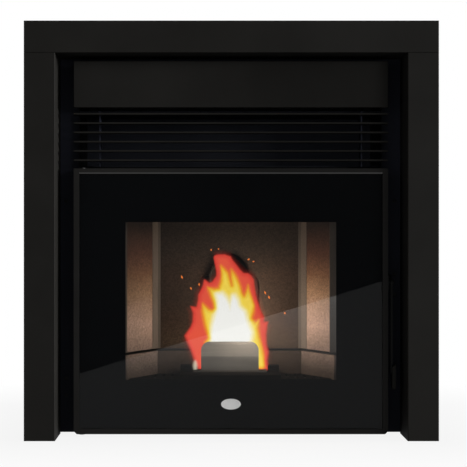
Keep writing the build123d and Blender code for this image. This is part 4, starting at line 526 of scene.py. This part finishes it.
WHITE_OUTLINE = [
    (-42, 196), (-40, 219), (-37, 240), (-32, 259), (-27, 277), (-26, 298), (-28, 311), (-18, 312),
    (-9, 302), (-2, 288), (1, 275), (4, 291), (9, 306), (15, 298), (19, 284), (26, 276), (33, 271),
    (37, 256), (43, 238), (49, 223), (47, 205), (40, 194), (0, 187),
]

# for each outline, its share of the heat, and from where to where inside it that share grows
HEAT_SHARES = [
    (RED_OUTLINE, 0.30, 0, 16),
    (YELLOW_OUTLINE, 0.40, -9, 10),
    (WHITE_OUTLINE, 0.30, -16, 7),
]
# colours of the fire by its heat
FIRE_COLOURS = [
    (0.00, srgb(222, 66, 54)),
    (0.24, srgb(238, 84, 68)),
    (0.33, srgb(240, 94, 68)),
    (0.47, srgb(244, 140, 50)),
    (0.60, srgb(250, 196, 56)),
    (0.71, srgb(255, 226, 88)),
    (0.86, srgb(255, 246, 200)),
    (0.97, srgb(255, 255, 252)),
]
# heights between which the sheets' soft rims go from their width at the foot to that at the top
RIM_FOOT = 150
RIM_TOP = 330
# the sheets sway to and fro with height, and bulge until this far inside their outline
SWAY = 5
SWAY_LENGTH = 31
BULGE_REACH = 60


def outline_distance(points, outline):
    """Distance inside an outline; it is negative outside."""
    corners = np.array(outline, float)
    ends = np.roll(corners, -1, axis=0)
    nearest = np.full(len(points), 1e9)
    inside = np.zeros(len(points), bool)
    for a, b in zip(corners, ends):
        along = b - a
        share = np.clip(((points - a) @ along) / (along @ along), 0, 1)
        nearest = np.minimum(nearest, np.linalg.norm(points - a - share[:, None] * along, axis=1))
        crosses = (a[1] > points[:, 1]) != (b[1] > points[:, 1])
        rise = (points[:, 1] - a[1]) / (b[1] - a[1] if b[1] != a[1] else 1e-9)
        inside ^= crosses & (points[:, 0] < a[0] + rise * along[0])
    return np.where(inside, nearest, -nearest)


def grown(outline, margin):
    """Outline moved outwards from its middle by about a margin."""
    corners = np.array(outline, float)
    away = corners - corners.mean(0)
    return (corners + away / np.linalg.norm(away, axis=1)[:, None] * margin).tolist()


def ease(value, low, high):
    """Smooth rise from 0 at low to 1 at high."""
    share = np.clip((value - low) / (high - low), 0, 1)
    return share * share * (3 - 2 * share)


def flame_heat(points):
    """Heat of the fire at points of its sheets: 0 at the red rim, 1 in the white heart."""
    return sum(
        share * ease(outline_distance(points, outline), low, high)
        for outline, share, low, high in HEAT_SHARES
    )


def even(level):
    """Heat that is the same all over a sheet."""
    return lambda points: np.full(len(points), level)


def flame_material(name, opacity, ragged=0.12):
    """Glowing sheet that thins out to nothing at its edge, its heat torn by upright streaks."""
    s = Shader(name)
    fade = s.node("ShaderNodeAttribute", attribute_name="fade").outputs["Fac"]
    heat = s.node("ShaderNodeAttribute", attribute_name="warmth").outputs["Fac"]
    lick = s.noise(34.0, roughness=0.6, stretch=(1.0, 1.0, 0.3))
    return s.principled(
        Base_Color=BLACK,
        Roughness=1.0,
        Specular_IOR_Level=0.0,
        Emission_Color=s.ramp(s.math("ADD", heat, s.swing(lick, ragged)), FIRE_COLOURS),
        Emission_Strength=1.05,
        Alpha=s.math("MULTIPLY", fade, opacity),
    )


def flame_sheet(name, outline, depth, material, soft, bulge=0, heat=flame_heat, step=2.0):
    """Sheet of flame that bulges forward, with a heat and, from 0 at its outline to 1 inside, a fade.

    soft is how wide the fade is at the foot and at the top of the fire.
    """
    corners = np.array(outline, float)
    low = corners.min(0) - step
    high = corners.max(0) + step
    xs = np.arange(low[0], high[0] + step, step)
    zs = np.arange(low[1], high[1] + step, step)
    grid = np.array([(x, z) for z in zs for x in xs])
    inside = outline_distance(grid, outline)
    sway = np.sin(grid[:, 1] / SWAY_LENGTH) * SWAY
    y = depth + sway - bulge * np.sqrt(np.clip(inside, 0, BULGE_REACH) / BULGE_REACH)
    columns = len(xs)
    faces = []
    for row in range(len(zs) - 1):
        for column in range(columns - 1):
            first = row * columns + column
            square = (first, first + 1, first + columns + 1, first + columns)
            if max(inside[i] for i in square) > 0:
                faces.append(square)
    used = sorted({i for face in faces for i in face})
    index = {old: new for new, old in enumerate(used)}
    verts = [(grid[i, 0] * MM, y[i] * MM, grid[i, 1] * MM) for i in used]
    faces = [tuple(index[i] for i in face) for face in faces]
    sheet = add_mesh(name, verts, faces, material)
    reach = soft[0] + (soft[1] - soft[0]) * ease(grid[used, 1], RIM_FOOT, RIM_TOP)
    for key, values in (("fade", ease(inside[used] / reach, 0, 1)), ("warmth", heat(grid[used]))):
        attribute = sheet.data.attributes.new(key, "FLOAT", "POINT")
        attribute.data.foreach_set("value", values.astype(np.float32))
    for polygon in sheet.data.polygons:
        polygon.use_smooth = True
    sheet.visible_shadow = False
    sheet.visible_diffuse = False
    sheet.visible_glossy = False
    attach(sheet, "burn_pot_set")
    return sheet


flame_sheet(
    "flame_halo", grown(RED_OUTLINE, 12), -70, flame_material("flame_glow", 0.26),
    soft=(30, 22), bulge=2, heat=even(0.05),
)
flame_sheet("flame_back", RED_OUTLINE, -76, flame_material("flame_red", 0.96), soft=(9, 4), bulge=4)
flame_sheet(
    "flame_middle", grown(YELLOW_OUTLINE, 3), -82, flame_material("flame_yellow", 0.9),
    soft=(12, 12), bulge=4,
)
flame_sheet(
    "flame_front", grown(WHITE_OUTLINE, 6), -88, flame_material("flame_white", 0.9),
    soft=(14, 14), bulge=4,
)

# glow of the embers past the pot's ends: middle, half width, half height and heat
EMBERS = [(-80, 148, 9, 16, 0.9), (75, 129.5, 12, 3, 0.62)]
EMBER_DEPTH = -94
ember_glow = flame_material("ember", 0.5, ragged=0.0)
for number, (x, z, wide, high, level) in enumerate(EMBERS):
    turns = np.linspace(0, 2 * math.pi, 24, endpoint=False)
    outline = [(x + wide * math.cos(turn), z + high * math.sin(turn)) for turn in turns]
    narrow = min(wide, high)
    flame_sheet(
        f"ember_{number}", outline, EMBER_DEPTH, ember_glow, (narrow, narrow), heat=even(level), step=1.0
    )

# sparks: middle, lean from upright in radians, and length
SPARKS = [
    (-111, 353, -0.38, 12), (-90, 327, -0.46, 10), (-71, 336, -0.13, 10), (82, 317, -0.42, 11),
    (91, 306, -0.42, 11), (128, 269, -0.17, 8), (44, 394, 1.17, 9), (55, 389, 1.22, 7),
    (-43, 416, -0.17, 7), (-26, 418, -0.24, 5),
]
SPARK_DEPTH = -95
SPARK_HALF_WIDTH = 2.5
SPARK_HEAT = 0.44
spark_glow = flame_material("spark", 1.0, ragged=0.0)
for number, (x, z, lean, length) in enumerate(SPARKS):
    along = np.array([math.sin(lean), math.cos(lean)]) * length / 2
    aside = np.array([math.cos(lean), -math.sin(lean)]) * SPARK_HALF_WIDTH
    middle = np.array([x, z])
    outline = [middle - along, middle - aside, middle + along, middle + aside]
    flame_sheet(
        f"spark_{number}", outline, SPARK_DEPTH, spark_glow, (1.0, 1.0), heat=even(SPARK_HEAT), step=0.6
    )


# ---------------------------------------------------------------- lamps
def add_lamp(name, kind, watts, place, **settings):
    lamp = bpy.data.lights.new(name, kind)
    lamp.energy = watts
    for key, value in settings.items():
        setattr(lamp, key, value)
    lamp_object = bpy.data.objects.new(name, lamp)
    lamp_object.location = place
    scene.collection.objects.link(lamp_object)
    return lamp_object


def add_panel(name, watts, place, target, size):
    """Square lamp that faces its target."""
    panel = add_lamp(name, "AREA", watts, place, shape="RECTANGLE", size=size, size_y=size)
    aim = [t - p for t, p in zip(target, place)]
    from_z = math.atan2(math.hypot(aim[0], aim[1]), -aim[2])
    panel.rotation_euler = (from_z, 0, math.atan2(aim[1], aim[0]) - math.pi / 2)


# the fire itself, unseen in the pane's mirror image
fire_core = add_lamp(
    "fire_core", "POINT", watts=1.55, place=(0.042, -0.14, 0.27),
    color=(1.0, 0.85, 0.70), shadow_soft_size=0.03,
)
fire_core.visible_glossy = False
add_panel("key", watts=320, place=(9.0, -9.0, 2.6), target=(0, -0.2, 0.45), size=3)
add_panel("rim", watts=1150, place=(9.0, -1.4, 1.3), target=(-0.38, -0.25, 0.45), size=0.6)
add_panel("fill", watts=8, place=(-2.2, -2.4, 1.2), target=(0, -0.2, 0.4), size=1.6)
add_panel("back", watts=16, place=(0.6, 2.2, 1.8), target=(0, 0.2, 0.4), size=1.6)


# ---------------------------------------------------------------- stage
def pale_floor():
    """Floor that looks white, apart from a soft shadow round the object."""
    half_width = 450 * MM
    half_depth = 280 * MM
    s = Shader("pale_floor")
    looked_at = s.math("MAXIMUM", s.ray("Camera"), s.ray("Glossy"))
    looked_at = s.math("MAXIMUM", looked_at, s.ray("Transmission"))
    mirrored = s.spread(s.ray("Glossy"), 0.0, 1.0, 1.0, 0.34)
    beyond_x = s.math("MAXIMUM", s.math("SUBTRACT", s.math("ABSOLUTE", s.along("X")), half_width), 0.0)
    beyond_y = s.math("MAXIMUM", s.math("SUBTRACT", s.math("ABSOLUTE", s.along("Y")), half_depth), 0.0)
    away = s.math("SQRT", s.math("ADD", s.math("POWER", beyond_x, 2.0), s.math("POWER", beyond_y, 2.0)))
    whiteness = s.spread(away, 0.0, 0.6, 0.88, 1.0)
    paint = s.node("ShaderNodeBsdfDiffuse", {"Color": (0.4, 0.4, 0.4, 1.0)}).outputs[0]
    material = s.output(s.mix(s.math("MULTIPLY", looked_at, whiteness), paint, s.shine(mirrored)))
    just_below = -0.5 * MM
    left, right, front, back = (-1.5, 1.5, -0.75, 1.5)
    corners = [(x, y, just_below) for x, y in rectangle(left, right, front, back)]
    return add_mesh("floor", corners, [(0, 1, 2, 3)], material)


def room_card():
    """Pale card low in front, with a slanted top edge, which only the pane's mirror image shows."""
    y = -1.422
    bottom = -0.9
    half_width = 1.6
    slope = 0.305
    edge_x = -0.445  # the top edge passes through this point
    edge_z = 0.018
    left_top, right_top = (edge_z + (x - edge_x) * slope for x in (-half_width, half_width))
    ends = (
        (-half_width, bottom), (half_width, bottom),
        (half_width, right_top), (-half_width, left_top),
    )
    s = Shader("room_card")
    material = s.output(s.shine(0.34))
    card = add_mesh("room_card", [(x, y, z) for x, z in ends], [(0, 1, 2, 3)], material)
    card.visible_camera = False
    card.visible_diffuse = False
    card.visible_shadow = False
    card.visible_transmission = False
    return card


def light_world():
    """White to the camera; to mirrors a dark room in front and a pale one behind; plain to the rest."""
    world = bpy.data.worlds.new("studio")
    world.use_nodes = True
    scene.world = world
    s = Shader("studio", world.node_tree)
    direction = s.node("ShaderNodeTexCoord").outputs["Generated"]
    to_rear = s.node("ShaderNodeSeparateXYZ", {"Vector": direction}).outputs["Y"]
    mirror_image = s.spread(to_rear, -0.25, 0.35, 0.026, 1.0)
    mirrored = s.math("MAXIMUM", s.ray("Glossy"), s.ray("Transmission"))
    kind = "ShaderNodeBackground"
    room = s.mix(mirrored, s.shine(0.42, kind), s.shine(mirror_image, kind))
    s.node("ShaderNodeOutputWorld", {"Surface": s.mix(s.ray("Camera"), room, s.shine(1.0, kind))})


def add_camera():
    """Level camera, square to the front and a little left of the middle."""
    optics = bpy.data.cameras.new("camera")
    optics.sensor_width = 36
    optics.lens = 105.8
    optics.shift_x = 0.0642
    optics.shift_y = -0.0032
    optics.clip_end = 50
    camera = bpy.data.objects.new("camera", optics)
    camera.location = (-0.0609, -3.28, 0.4575)
    camera.rotation_euler = (math.pi / 2, 0, 0)
    scene.collection.objects.link(camera)
    scene.camera = camera


pale_floor()
room_card()
light_world()
add_camera()
